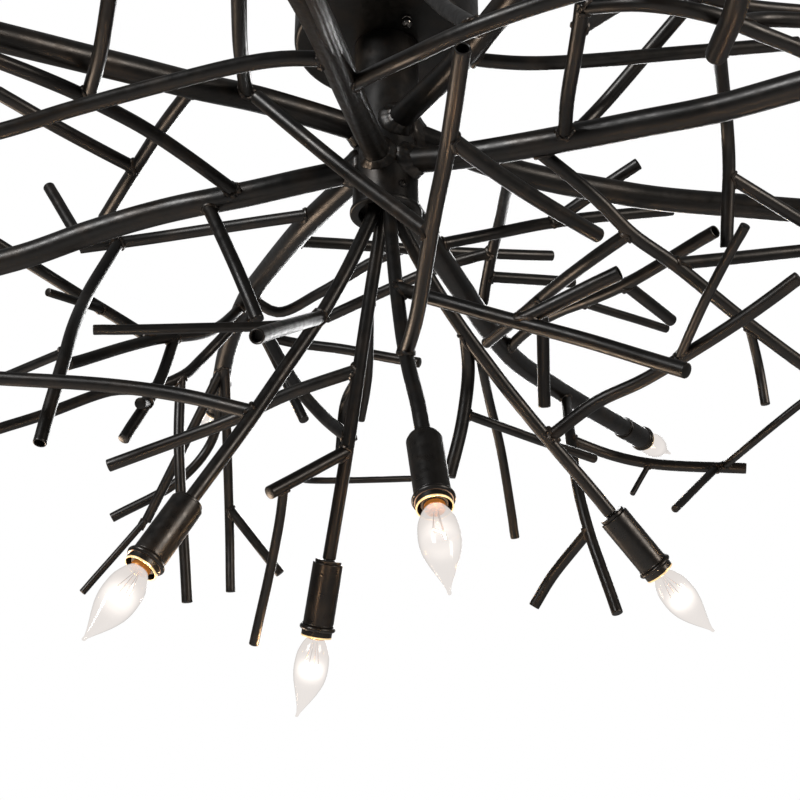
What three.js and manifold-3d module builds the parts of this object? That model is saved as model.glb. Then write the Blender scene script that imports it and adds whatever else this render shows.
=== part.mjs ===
// Branch chandelier: tube limbs with twigs welded to them spread from a hub under a canopy.
// Millimetres, +Z up. The origin is the middle of the face that meets the ceiling.

import * as THREE from "three";
import { mergeVertices } from "three/addons/utils/BufferGeometryUtils.js";
import Module from "manifold-3d";

const wasm = await Module();
wasm.setup();

// Fits: the gap between touching pieces, and how far a cutter reaches past a face
const GAP = 0.3;
const PAST = 3;

// Canopy
const CANOPY_DIAMETER = 180;
const CANOPY_HEIGHT = 60;
const CANOPY_SHEET = 2;

// Plate on the ceiling box: two slots for the box screws along X, a hole for the wires
const PLATE_DIAMETER = 116;
const PLATE_THICKNESS = 3;
const BOX_SCREW_SPACING = 88.9;
const SLOT_LENGTH = 14;
const SLOT_WIDTH = 5;
const PLATE_WIRE_HOLE_DIAMETER = 14;
const PLATE_WIRE_HOLE_RADIUS = 26;
const PLATE_WIRE_HOLE_AZIMUTH = 23;

// Studs and ball nuts that hold the canopy
const STUD_SPACING = 100;
const STUD_AZIMUTH = 113;
const STUD_DIAMETER = 4;
const STUD_REACH_IN_NUT = 5;
const BALL_NUT_DIAMETER = 10.5;

// Hub
const HUB_DIAMETER = 62;
const HUB_LENGTH = 190;
const HUB_WALL = 3;
const HUB_TOP_PLATE = 6;
const HUB_RING_DIAMETER = 67;
const HUB_RING_HEIGHT = 5;
const HUB_RING_OPENING_DIAMETER = 50;

// Hollow bolt between canopy and hub
const NIPPLE_DIAMETER = 13;
const NIPPLE_HEAD_WIDTH = 22;
const NIPPLE_HEAD_HEIGHT = 6;

// Plate in the foot of the hub that carries the arms, and the screw that holds it
const ARM_PLATE_THICKNESS = 12;
const ARM_PLATE_RECESS_DEPTH = 12;
const ARM_CIRCLE_DIAMETER = 24;
const ARM_SOCKET_DEPTH = 6;
const ARM_WIRE_HOLE_DIAMETER = 6;
const ARM_ELBOW_LENGTH = 2;
const HUB_SCREW_AZIMUTH = 300;
const HUB_SCREW_DIAMETER = 4;
const HUB_SCREW_LENGTH = 12;
const HUB_SCREW_HEAD_DIAMETER = 8;
const HUB_SCREW_HEAD_HEIGHT = 2.4;
const HUB_SCREW_RECESS_WIDTH = 1.4;
const HUB_SCREW_RECESS_LENGTH = 5.2;
const HUB_SCREW_RECESS_DEPTH = 1.5;

// Supply wires
const WIRE_DIAMETER = 5;
const WIRE_BEND_START_DEPTH = 14;
const WIRE_BEND_MIDDLE_DEPTH = 38;
const WIRE_BEND_END_DEPTH = 45;
const WIRE_FOOT_HEIGHT = 30;

// Tubes: diameter, wall, sides of the section, and depth of the bore at an open end
const LIMB_LENGTH = 640;
const LIMB = { diameter: 24, wall: 2, sides: 10, bore: 0 };
const ARM = { diameter: 12.5, wall: 1.5, sides: 8, bore: 0 };
const STOUT_TWIG = { diameter: 17.5, wall: 1.5, sides: 8, bore: 12 };
const OPEN_TWIG = { diameter: 12.5, wall: 1.5, sides: 6, bore: 10 };
const THICK_TWIG = { diameter: 12.5, wall: 1.5, sides: 6, bore: 0 };
const THIN_TWIG = { diameter: 9, wall: 1.5, sides: 6, bore: 0 };
const FINE_TWIG = { diameter: 6.5, wall: 1.5, sides: 6, bore: 0 };

// Weld collar round the root of a limb
const COLLAR_WIDTH = 4.5;
const COLLAR_LIP = 2.5;
const COLLAR_LENGTH = 8;

// Lamp: cover, candelabra socket inside it, flame-tip bulb
const COVER_DIAMETER = 28.5;
const COVER_LENGTH = 72;
const COVER_WALL = 1;
const COVER_CAP_DIAMETER = 25;
const COVER_CAP_HEIGHT = 3;
const COVER_RING_DIAMETER = 33.5;
const COVER_RING_HEIGHT = 5;
const COVER_LIP_LENGTH = 6;
const COVER_WIRE_HOLE_DIAMETER = 8;
const SOCKET_DIAMETER = 21;
const SOCKET_SETBACK_DEPTH = 3;
const SOCKET_BORE_DIAMETER = 13.6;
const SOCKET_BORE_DEPTH = 20;
const BULB_BASE_DIAMETER = 12;
const BULB_BASE_LENGTH = 18.5;
const BULB_SEAT_HEIGHT = 2;
const BULB_COLLAR_DIAMETER = 16.5;
const BULB_COLLAR_HEIGHT = 4.2;
const BULB_DIAMETER = 32;
const BULB_GLASS_LENGTH = 74.3;
const BULB_TIP_OFFSET = 6;

// Sides of the turned pieces
const LARGE_SIDES = 28;
const SMALL_SIDES = 10;
const HOLE_SIDES = 6;

// Outlines as shares: radius share, then length share
const bulbGlassShares = [
    [0.7, 0.055], [0.96, 0.22], [1, 0.36], [0.88, 0.545], [0.56, 0.725], [0.2, 0.905], [0, 1],
];
const ballNutShares = [[0, -0.94], [0.3, -0.86], [0.5, -0.48], [0.42, -0.14], [0.38, 0]];

// Levels
const hubTop = -CANOPY_HEIGHT - GAP;
const hubFoot = -CANOPY_HEIGHT - HUB_LENGTH;
const armPlateFoot = hubFoot + ARM_PLATE_RECESS_DEPTH;
const armPlateTop = armPlateFoot + ARM_PLATE_THICKNESS;

// One twig: place along its parent as a share, tube size, runs, and twigs on it.
// A run is azimuth and rise in degrees, then length as a share of the limb length.
const twig = (atShare, size, runs, twigs = []) => ({ atShare, size, runs, twigs });

// One limb or arm: name, azimuth of its root, root height as a share of the hub, turn of its
// bulb about its own axis in degrees, which sets where the tip leans, runs, twigs
const branch = (name, azimuth, heightShare, bulbTurn, runs, twigs) => ({
    name, azimuth, heightShare, bulbTurn, runs, twigs,
});

const limbs = [
    branch("limb_1", 356, 0.45, 40, [
        [17, -13, 0.13], [21, 0, 0.17], [15, -1, 0.08], [5, -3, 0.13], [357, -7, 0.22],
        [350, -12, 0.25],
    ], [
        twig(0.15, THICK_TWIG, [[91, 9, 0.21], [95, -3, 0.09], [96, -20, 0.11]], [
            twig(0.86, THICK_TWIG, [[28, 11, 0.18]]),
            twig(0.72, THICK_TWIG, [[160, -7, 0.09], [154, -11, 0.1], [150, -10, 0.13]]),
        ]),
        twig(0.64, THICK_TWIG, [[45, 18, 0.16], [60, 2, 0.14]]),
        twig(0.78, THICK_TWIG, [[300, -20, 0.14], [318, -42, 0.13]]),
    ]),
    branch("limb_2", 60, 0.18, 350, [[69, -3, 0.29], [69, 1, 0.24], [62, 6, 0.22], [58, 6, 0.3]], [
        twig(0.125, THICK_TWIG, [[18, 22, 0.11], [7, 16, 0.1], [11, 13, 0.21]], [
            twig(0.5, OPEN_TWIG, [[321, 17, 0.05], [328, 20, 0.115]]),
        ]),
        twig(0.485, OPEN_TWIG, [[288, -8, 0.17], [301, -9, 0.215], [306, 1, 0.19]], [
            twig(0.49, THIN_TWIG, [[33, 1, 0.18]]),
            twig(0.67, THICK_TWIG, [[48, -6, 0.13]]),
        ]),
        twig(0.75, THICK_TWIG, [[266, -50, 0.17], [279, -76, 0.1], [304, -76, 0.1], [326, -74, 0.17]], [
            twig(0.345, THICK_TWIG, [[16, -15, 0.08], [353, -16, 0.07], [351, -7, 0.17]], [
                twig(0.47, FINE_TWIG, [[208, -57, 0.08]]),
                twig(0.84, THIN_TWIG, [[224, -40, 0.18]]),
                twig(0.87, THIN_TWIG, [[296, 9, 0.12], [323, 27, 0.1]]),
            ]),
            twig(0.7, THICK_TWIG, [[133, -35, 0.11], [145, -51, 0.06]]),
        ]),
    ]),
    branch("limb_3", 122, 0.38, 110, [
        [119, 3, 0.21], [110, 10, 0.21], [109, 8, 0.21], [105, 0, 0.2], [102, -6, 0.13],
    ], [
        twig(0.18, THICK_TWIG, [[168, -2, 0.15], [170, -4, 0.11], [182, -10, 0.13]], [
            twig(0.98, THICK_TWIG, [[156, 58, 0.16]]),
            twig(0.84, OPEN_TWIG, [
                [250, -60, 0.15], [269, -54, 0.12], [270, -62, 0.08], [251, -75, 0.15],
            ], [
                twig(0.66, THIN_TWIG, [[149, -6, 0.13]]),
            ]),
        ]),
        twig(0.31, THICK_TWIG, [[36, 16, 0.13], [28, 11, 0.19], [22, 10, 0.21]]),
        twig(0.63, THICK_TWIG, [[15, -25, 0.06], [325, 6, 0.1], [327, 14, 0.12], [336, 12, 0.06]]),
        twig(0.67, THICK_TWIG, [[242, -45, 0.14], [239, -29, 0.18], [234, -33, 0.21]], [
            twig(0.6, THICK_TWIG, [[206, 23, 0.14], [215, 18, 0.18]], [
                twig(0.29, THIN_TWIG, [[236, -10, 0.13]]),
            ]),
            twig(0.48, THICK_TWIG, [[246, -69, 0.11], [228, -63, 0.14]], [
                twig(0.65, THICK_TWIG, [[260, -24, 0.035]]),
            ]),
        ]),
        twig(0.72, THICK_TWIG, [[40, -18, 0.07], [354, -14, 0.16], [341, -19, 0.15]], [
            twig(0.15, THICK_TWIG, [[39, -54, 0.08], [330, -64, 0.13]]),
        ]),
        twig(0.75, THICK_TWIG, [
            [196, -54, 0.11], [231, -49, 0.06], [211, -34, 0.08], [202, -13, 0.07],
            [198, -29, 0.14], [194, -25, 0.08],
        ], [
            twig(0.33, THICK_TWIG, [[67, -86, 0.13], [60, -80, 0.29]]),
        ]),
        twig(0.9, THICK_TWIG, [[104, -36, 0.195], [169, -51, 0.11], [176, -30, 0.15]]),
        twig(0.93, THICK_TWIG, [[141, -55, 0.35]], [
            twig(0.98, THIN_TWIG, [[181, -53, 0.195]]),
        ]),
        twig(0.92, THICK_TWIG, [[89, -56, 0.33], [79, -78, 0.14]], [
            twig(0.64, THICK_TWIG, [[13, -50, 0.17]]),
        ]),
    ]),
    branch("limb_4", 180, 0.26, 250, [
        [179, -14, 0.13], [166, -5, 0.18], [164, -9, 0.1], [170, -16, 0.12], [176, -12, 0.22],
        [182, -4, 0.25],
    ], [
        twig(0.17, THICK_TWIG, [[238, -1, 0.17], [241, -10, 0.15], [235, -11, 0.1], [222, -4, 0.06]], [
            twig(0.69, THICK_TWIG, [[289, 4, 0.1], [286, 14, 0.16]]),
        ]),
        twig(0.222, THICK_TWIG, [[322, -63, 0.16], [349, -68, 0.085]]),
        twig(0.6, THICK_TWIG, [[138, 12, 0.18], [120, 24, 0.12]]),
        twig(0.76, THICK_TWIG, [[204, -38, 0.14], [190, -52, 0.14]]),
    ]),
    branch("limb_5", 214, 0.44, 80, [
        [215, -5, 0.15], [221, -14, 0.13], [220, -12, 0.13], [216, -9, 0.2], [210, -5, 0.2],
        [204, -10, 0.19],
    ], [
        twig(0.28, THICK_TWIG, [[120, 0, 0.13], [118, -3, 0.24]], [
            twig(0.61, THICK_TWIG, [[230, -1, 0.17], [217, 12, 0.07]]),
        ]),
        twig(0.19, THICK_TWIG, [[273, -15, 0.17], [275, -11, 0.27]]),
        twig(0.64, THICK_TWIG, [[256, -18, 0.18], [270, -4, 0.12]]),
        twig(0.78, THICK_TWIG, [[172, -34, 0.16], [160, -54, 0.12]]),
    ]),
    branch("limb_6", 255, 0.26, 170, [
        [262, -15, 0.22], [263, -16, 0.27], [258, -11, 0.25], [256, -2, 0.26],
    ], [
        twig(0.365, THICK_TWIG, [[185, -5, 0.08], [176, -14, 0.24], [183, -23, 0.08], [175, -14, 0.1]]),
        twig(0.85, OPEN_TWIG, [[67, -8, 0.17], [84, 19, 0.32]]),
        twig(0.265, THICK_TWIG, [[297, -22, 0.19], [315, -8, 0.09], [332, 2, 0.08], [343, 7, 0.08]], [
            twig(0.66, THICK_TWIG, [[109, 47, 0.19], [109, 53, 0.13]]),
        ]),
        twig(0.66, THICK_TWIG, [[222, -22, 0.18], [236, -6, 0.14]]),
        twig(0.78, THICK_TWIG, [[306, -30, 0.15], [290, -48, 0.12]]),
    ]),
    branch("limb_7", 293, 0.46, 300, [
        [297, -6, 0.16], [291, -8, 0.24], [290, -11, 0.3], [296, -4, 0.3],
    ], [
        twig(0.195, THICK_TWIG, [[352, -16, 0.03], [0, -4, 0.07], [4, 8, 0.23], [6, 10, 0.14]], [
            twig(0.755, THICK_TWIG, [[76, 0, 0.1], [76, -11, 0.08], [81, -47, 0.05], [94, -65, 0.12]], [
                twig(0.7, THICK_TWIG, [[28, -16, 0.15]]),
            ]),
        ]),
        twig(0.85, STOUT_TWIG, [[78, -13, 0.275], [90, 5, 0.14]]),
        twig(0.6, THICK_TWIG, [[330, -24, 0.16], [346, -40, 0.12]]),
        twig(0.72, THICK_TWIG, [[256, -20, 0.16], [246, -38, 0.12]]),
    ]),
    branch("limb_8", 322, 0.25, 20, [
        [329, -13, 0.1], [333, -6, 0.26], [327, -9, 0.09], [325, -6, 0.2], [330, -10, 0.2],
        [336, -4, 0.15],
    ], [
        twig(0.24, THICK_TWIG, [[266, -6, 0.1], [270, 0, 0.09], [271, 8, 0.1]], [
            twig(0.96, THICK_TWIG, [
                [326, -21, 0.085], [4, -9, 0.08], [26, -2, 0.08], [20, -9, 0.065],
            ], [
                twig(0.65, THICK_TWIG, [[33, 29, 0.055], [11, 7, 0.075]]),
            ]),
            twig(0.84, THICK_TWIG, [[44, 45, 0.11], [32, 45, 0.12]]),
        ]),
        twig(0.25, THICK_TWIG, [[2, 50, 0.07], [324, 37, 0.09], [325, 38, 0.12]], [
            twig(0.94, THICK_TWIG, [[11, -8, 0.055], [16, 6, 0.11]]),
        ]),
        twig(0.19, THICK_TWIG, [
            [22, -33, 0.12], [34, -30, 0.07], [31, -20, 0.08], [36, -19, 0.18], [32, -20, 0.1],
        ], [
            twig(0.49, THICK_TWIG, [[28, 20, 0.17], [23, 18, 0.13]]),
            twig(0.34, THICK_TWIG, [[128, -6, 0.08], [109, 8, 0.4]], [
                twig(0.5, THICK_TWIG, [[86, -53, 0.17]]),
            ]),
            twig(0.77, THIN_TWIG, [[68, -36, 0.07], [60, -76, 0.06]]),
        ]),
        twig(0.68, THICK_TWIG, [[8, -20, 0.16], [354, -40, 0.12]]),
        twig(0.8, THICK_TWIG, [[288, -26, 0.14], [300, -46, 0.12]]),
    ]),
];

const arms = [
    branch("arm_1", 31, 0, 202, [[34, -54, 0.12], [31, -48, 0.15], [29, -43, 0.26]], [
        twig(0.365, THICK_TWIG, [[84, -37, 0.06], [110, -70, 0.08], [142, -72, 0.08]], [
            twig(0.56, THIN_TWIG, [[34, -4, 0.15], [40, 1, 0.11]]),
        ]),
        twig(0.43, THIN_TWIG, [[80, -12, 0.12], [72, -42, 0.08], [72, -58, 0.14]]),
        twig(0.73, THICK_TWIG, [[341, 32, 0.09], [328, 13, 0.08], [318, 14, 0.15], [319, 19, 0.11]], [
            twig(0.52, THIN_TWIG, [[280, 15, 0.14], [291, 27, 0.11]]),
        ]),
    ]),
    branch("arm_2", 110, 0, 224, [[114, -68, 0.16], [110, -66, 0.145], [112, -64, 0.19]], [
        twig(0.44, THICK_TWIG, [[147, -3, 0.13], [153, -13, 0.09], [172, -19, 0.205]]),
        twig(0.68, THICK_TWIG, [[210, -36, 0.15]], [
            twig(0.81, THIN_TWIG, [[103, -51, 0.06], [111, -53, 0.18]]),
            twig(0.56, FINE_TWIG, [[90, 18, 0.13], [30, 12, 0.18]]),
        ]),
        twig(0.46, THIN_TWIG, [[103, 0, 0.11], [101, -65, 0.07]]),
        twig(0.23, THIN_TWIG, [[92, -26, 0.15], [102, -38, 0.07]]),
        twig(0.64, THICK_TWIG, [[120, 38, 0.11], [128, 46, 0.08], [120, 48, 0.11], [125, 53, 0.08]]),
    ]),
    branch("arm_3", 205, 0, 334, [[202, -68, 0.145], [199, -62, 0.215], [207, -59.5, 0.18]], [
        twig(0.39, THIN_TWIG, [[190, -9, 0.08], [187, -5, 0.22]]),
        twig(0.37, OPEN_TWIG, [[259, -31, 0.34]]),
        twig(0.7, THICK_TWIG, [[167, 19, 0.1], [173, 12, 0.1], [176, 6, 0.19]]),
    ]),
    branch("arm_4", 284, 0, 316, [
        [282, -71, 0.19], [281, -63, 0.13], [284, -58, 0.12], [287, -69, 0.045],
    ], [
        twig(0.64, OPEN_TWIG, [[280, 12, 0.08], [277, 18, 0.17], [279, 21, 0.09], [275, 12, 0.145]], [
            twig(0.73, THICK_TWIG, [[52, 1, 0.12], [48, 2, 0.18]]),
            twig(0.44, OPEN_TWIG, [[149, 47, 0.185], [167, 47, 0.175]]),
        ]),
        twig(0.34, THICK_TWIG, [[322, -31, 0.07], [332, -28, 0.24], [324, -31, 0.155]], [
            twig(0.45, OPEN_TWIG, [[330, 13, 0.145]]),
        ]),
    ]),
];

const UP = new THREE.Vector3(0, 0, 1);

// Corner radius of a regular polygon with the area of a circle
function cornerRadius(radius, sides) {
    const wedge = (2 * Math.PI) / sides;
    return radius * Math.sqrt(wedge / Math.sin(wedge));
}

// A closed geometry as a solid
function solidOf(geometry) {
    geometry.deleteAttribute("normal");
    geometry.deleteAttribute("uv");
    const merged = mergeVertices(geometry, GAP / 100);
    return new wasm.Manifold(
        new wasm.Mesh({
            numProp: 3,
            vertProperties: merged.attributes.position.array,
            triVerts: new Uint32Array(merged.index.array),
        }),
    );
}

// Solids joined into one body
function joined(solids) {
    return solids.reduce((whole, solid) => whole.add(solid));
}

// A body with cutters taken out
function cut(body, cutters) {
    return cutters.reduce((whole, cutter) => whole.subtract(cutter), body);
}

// A horizontal or rising unit direction from an azimuth and a rise in degrees
function heading(azimuth, rise = 0) {
    const a = THREE.MathUtils.degToRad(azimuth);
    const r = THREE.MathUtils.degToRad(rise);
    return new THREE.Vector3(Math.cos(r) * Math.cos(a), Math.cos(r) * Math.sin(a), Math.sin(r));
}

// A geometry drawn along +Z, moved to start at a point and face a direction
function aimed(geometry, start, direction) {
    const turn = new THREE.Quaternion().setFromUnitVectors(UP, direction);
    return geometry.applyQuaternion(turn).translate(start.x, start.y, start.z);
}

// Turned geometry about +Z from an outline of radius and height
function turned(outline, sides) {
    const points = outline.map(([r, z]) => new THREE.Vector2(cornerRadius(r, sides), z));
    return new THREE.LatheGeometry(points, sides).rotateX(Math.PI / 2);
}

// A round bar from a point along a direction
function bar(start, direction, length, radius, sides = SMALL_SIDES, endRadius = radius) {
    const outline = [[0, 0], [radius, 0], [endRadius, length], [0, length]];
    return solidOf(aimed(turned(outline, sides), start, direction));
}

// A bar along the same path as a tube, in equal steps
function sweep(path, radius, sides, steps) {
    const corner = cornerRadius(radius, sides);
    const corners = Array.from({ length: sides }, (_, i) => {
        const angle = (2 * Math.PI * i) / sides;
        return new THREE.Vector2(corner * Math.cos(angle), corner * Math.sin(angle));
    });
    const options = { steps, extrudePath: path, bevelEnabled: false };
    return solidOf(new THREE.ExtrudeGeometry(new THREE.Shape(corners), options));
}

// The points reached by a list of runs
function walk(start, runs) {
    const points = [start];
    for (const [azimuth, rise, lengthShare] of runs) {
        const step = heading(azimuth, rise).multiplyScalar(LIMB_LENGTH * lengthShare);
        points.push(step.add(points.at(-1)));
    }
    return points;
}

// A straight line for one run, a smooth curve for more
function pathThrough(points) {
    if (points.length === 2) return new THREE.LineCurve3(points[0], points[1]);
    return new THREE.CatmullRomCurve3(points);
}

function stepsFor(runs, size) {
    if (runs.length === 1) return 1;
    return size === LIMB ? runs.length + 3 : runs.length + 1;
}

// The twigs of a parent path, and the bores at their free ends
function grow(path, twigs, solids, bores) {
    for (const { atShare, size, runs, twigs: next } of twigs) {
        const own = pathThrough(walk(path.getPointAt(atShare), runs));
        solids.push(sweep(own, size.diameter / 2, size.sides, stepsFor(runs, size)));
        if (size.bore > 0) {
            const back = own.getTangentAt(1).negate();
            const mouth = own.getPointAt(1).addScaledVector(back, -PAST);
            const radius = size.diameter / 2 - size.wall;
            bores.push(bar(mouth, back, size.bore + PAST, radius, HOLE_SIDES));
        }
        grow(own, next, solids, bores);
    }
}

const group = new THREE.Group();
const finishes = {
    bronze: new THREE.MeshStandardMaterial({ color: 0x1c1816, metalness: 0.5, roughness: 0.55 }),
    steel: new THREE.MeshStandardMaterial({ color: 0x9a9c9e, metalness: 0.9, roughness: 0.4 }),
    phenolic: new THREE.MeshStandardMaterial({ color: 0x2a2320, metalness: 0, roughness: 0.6 }),
    glass: new THREE.MeshStandardMaterial({ color: 0xfff3df, metalness: 0, roughness: 0.1 }),
    wire: new THREE.MeshStandardMaterial({ color: 0xe8e4da, metalness: 0, roughness: 0.5 }),
};

// A solid as a geometry again
function geometryOf(solid) {
    const { vertProperties, triVerts } = solid.getMesh();
    const geometry = new THREE.BufferGeometry();
    geometry.setAttribute("position", new THREE.BufferAttribute(vertProperties, 3));
    geometry.setIndex(new THREE.BufferAttribute(triVerts, 1));
    return geometry;
}

function addNode(name, solid, finish) {
    const geometry = geometryOf(solid);
    geometry.computeVertexNormals();
    const mesh = new THREE.Mesh(geometry, finish);
    mesh.name = name;
    group.add(mesh);
}

// Places of the two studs
const studPlaces = [1, -1].map((side) =>
    heading(STUD_AZIMUTH).multiplyScalar((side * STUD_SPACING) / 2),
);

// Cutters for the stud holes of a sheet
function studHoles(level, thickness) {
    return studPlaces.map((place) => {
        const start = place.clone().setZ(level - PAST);
        return bar(start, UP, thickness + 2 * PAST, STUD_DIAMETER / 2 + GAP, HOLE_SIDES);
    });
}

// Canopy: an open drum with a hole for the hollow bolt and two for the studs
function canopy() {
    const outer = CANOPY_DIAMETER / 2;
    const inner = outer - CANOPY_SHEET;
    const hole = NIPPLE_DIAMETER / 2 + GAP;
    const floor = CANOPY_SHEET - CANOPY_HEIGHT;
    const outline = [
        [hole, floor], [hole, -CANOPY_HEIGHT], [outer, -CANOPY_HEIGHT],
        [outer, 0], [inner, 0], [inner, floor], [hole, floor],
    ];
    const body = solidOf(turned(outline, LARGE_SIDES));
    return cut(body, studHoles(-CANOPY_HEIGHT, CANOPY_SHEET));
}

// Ceiling plate: a disc with two slots, a wire hole and two stud holes
function ceilingPlate() {
    const disc = new THREE.Shape();
    disc.absarc(0, 0, cornerRadius(PLATE_DIAMETER / 2, LARGE_SIDES), 0, 2 * Math.PI);
    const slotRadius = SLOT_WIDTH / 2;
    const slotReach = SLOT_LENGTH / 2 - slotRadius;
    for (const side of [1, -1]) {
        const slot = new THREE.Path();
        const middle = (side * BOX_SCREW_SPACING) / 2;
        slot.absarc(middle + slotReach, 0, slotRadius, -Math.PI / 2, Math.PI / 2);
        slot.absarc(middle - slotReach, 0, slotRadius, Math.PI / 2, (3 * Math.PI) / 2);
        disc.holes.push(slot);
    }
    const curveSegments = LARGE_SIDES / 2;
    const options = { depth: PLATE_THICKNESS, bevelEnabled: false, curveSegments };
    const geometry = new THREE.ExtrudeGeometry(disc, options);
    const flat = solidOf(geometry.translate(0, 0, -PLATE_THICKNESS));
    const wirePlace = heading(PLATE_WIRE_HOLE_AZIMUTH).multiplyScalar(PLATE_WIRE_HOLE_RADIUS);
    const wireHole = bar(
        wirePlace.setZ(-PLATE_THICKNESS - PAST),
        UP,
        PLATE_THICKNESS + 2 * PAST,
        PLATE_WIRE_HOLE_DIAMETER / 2,
    );
    return cut(flat, [wireHole, ...studHoles(-PLATE_THICKNESS, PLATE_THICKNESS)]);
}

addNode("canopy", canopy(), finishes.bronze);
addNode("ceiling_plate", ceilingPlate(), finishes.steel);

// Studs hang from the ceiling plate and the ball nuts close on them under the canopy
studPlaces.forEach((place, i) => {
    const nutTop = new THREE.Vector3(place.x, place.y, -CANOPY_HEIGHT - GAP);
    const start = nutTop.clone().setZ(nutTop.z - STUD_REACH_IN_NUT);
    const stud = bar(start, UP, -start.z - GAP, STUD_DIAMETER / 2);
    addNode(`canopy_stud_${i + 1}`, stud, finishes.steel);
    const boreRadius = STUD_DIAMETER / 2 + GAP;
    const boreDepth = STUD_REACH_IN_NUT + GAP;
    const outline = ballNutShares.map(([r, z]) => [r * BALL_NUT_DIAMETER, z * BALL_NUT_DIAMETER]);
    outline.push([boreRadius, 0], [boreRadius, -boreDepth], [0, -boreDepth]);
    const nut = solidOf(aimed(turned(outline, SMALL_SIDES), nutTop, UP));
    addNode(`ball_nut_${i + 1}`, nut, finishes.bronze);
});

// Hollow bolt: its head rests in the canopy and its shank holds the top plate of the hub
function hollowBolt() {
    const headFoot = CANOPY_SHEET - CANOPY_HEIGHT + GAP;
    const shankFoot = hubTop - HUB_TOP_PLATE - PAST;
    const foot = new THREE.Vector3(0, 0, shankFoot);
    const headStart = foot.clone().setZ(headFoot);
    const head = bar(headStart, UP, NIPPLE_HEAD_HEIGHT, NIPPLE_HEAD_WIDTH / 2, HOLE_SIDES);
    const shank = bar(foot, UP, headFoot - shankFoot + PAST, NIPPLE_DIAMETER / 2);
    const boreStart = foot.clone().setZ(shankFoot - PAST);
    const boreLength = headFoot + NIPPLE_HEAD_HEIGHT - shankFoot + 2 * PAST;
    return cut(joined([head, shank]), [bar(boreStart, UP, boreLength, WIRE_DIAMETER / 2 + 1.5 * GAP)]);
}

addNode("hub_hollow_bolt", hollowBolt(), finishes.steel);

// Supply wires from the ceiling through the hollow bolt into the hub
const wireTop = heading(PLATE_WIRE_HOLE_AZIMUTH).multiplyScalar(PLATE_WIRE_HOLE_RADIUS);
const wirePoints = [
    wireTop.clone().setZ(-GAP),
    wireTop.clone().setZ(-WIRE_BEND_START_DEPTH),
    new THREE.Vector3(0, 0, -WIRE_BEND_MIDDLE_DEPTH),
    new THREE.Vector3(0, 0, -WIRE_BEND_END_DEPTH),
    new THREE.Vector3(0, 0, armPlateTop + WIRE_FOOT_HEIGHT),
];
const wirePath = new THREE.CatmullRomCurve3(wirePoints);
const wires = sweep(wirePath, WIRE_DIAMETER / 2, FINE_TWIG.sides, 4 * wirePoints.length);
addNode("supply_wires", wires, finishes.wire);

// Where a limb or arm starts
function rootOf({ azimuth, heightShare }, radius) {
    return heading(azimuth).multiplyScalar(radius).setZ(hubFoot + HUB_LENGTH * heightShare);
}

const hubRadius = HUB_DIAMETER / 2;
const screwLevel = (armPlateFoot + armPlateTop) / 2;
const screwDirection = heading(HUB_SCREW_AZIMUTH);
const screwHole = bar(
    screwDirection.clone().multiplyScalar(hubRadius - HUB_SCREW_LENGTH).setZ(screwLevel),
    screwDirection,
    HUB_SCREW_LENGTH + PAST,
    HUB_SCREW_DIAMETER / 2 + GAP,
);

// Hub column: a tube closed at the top, with a wire hole behind every limb
function hubColumn() {
    const inner = hubRadius - HUB_WALL;
    const hole = NIPPLE_DIAMETER / 2 + GAP;
    const foot = hubFoot + HUB_RING_HEIGHT + GAP;
    const outline = [
        [hole, hubTop - HUB_TOP_PLATE], [inner, hubTop - HUB_TOP_PLATE], [inner, foot],
        [hubRadius, foot], [hubRadius, hubTop], [hole, hubTop], [hole, hubTop - HUB_TOP_PLATE],
    ];
    const wireHoles = limbs.map((limb) => {
        const start = rootOf(limb, inner - PAST);
        const length = HUB_WALL + 2 * PAST;
        const radius = LIMB.diameter / 2 - LIMB.wall;
        return bar(start, heading(limb.azimuth), length, radius, HOLE_SIDES);
    });
    return cut(solidOf(turned(outline, LARGE_SIDES)), [...wireHoles, screwHole]);
}

// Ring that finishes the foot of the hub
function hubRing() {
    const outer = HUB_RING_DIAMETER / 2;
    const inner = HUB_RING_OPENING_DIAMETER / 2;
    const top = hubFoot + HUB_RING_HEIGHT;
    const outline = [[inner, hubFoot], [outer, hubFoot], [outer, top], [inner, top], [inner, hubFoot]];
    return solidOf(turned(outline, LARGE_SIDES));
}

// Arm plate: a disc with four blind seats for the arms, each with a wire hole through
function armPlate() {
    const start = new THREE.Vector3(0, 0, armPlateFoot);
    const radius = hubRadius - HUB_WALL - GAP;
    const disc = bar(start, UP, ARM_PLATE_THICKNESS, radius, LARGE_SIDES);
    const seats = arms.flatMap((arm) => {
        const place = rootOf(arm, ARM_CIRCLE_DIAMETER / 2).setZ(armPlateFoot - PAST);
        const seatRadius = ARM.diameter / 2 + GAP;
        const seat = bar(place, UP, ARM_SOCKET_DEPTH + PAST, seatRadius, ARM.sides);
        const length = ARM_PLATE_THICKNESS + 2 * PAST;
        const wireHole = bar(place, UP, length, ARM_WIRE_HOLE_DIAMETER / 2, HOLE_SIDES);
        return [seat, wireHole];
    });
    return cut(disc, [...seats, screwHole]);
}

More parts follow.
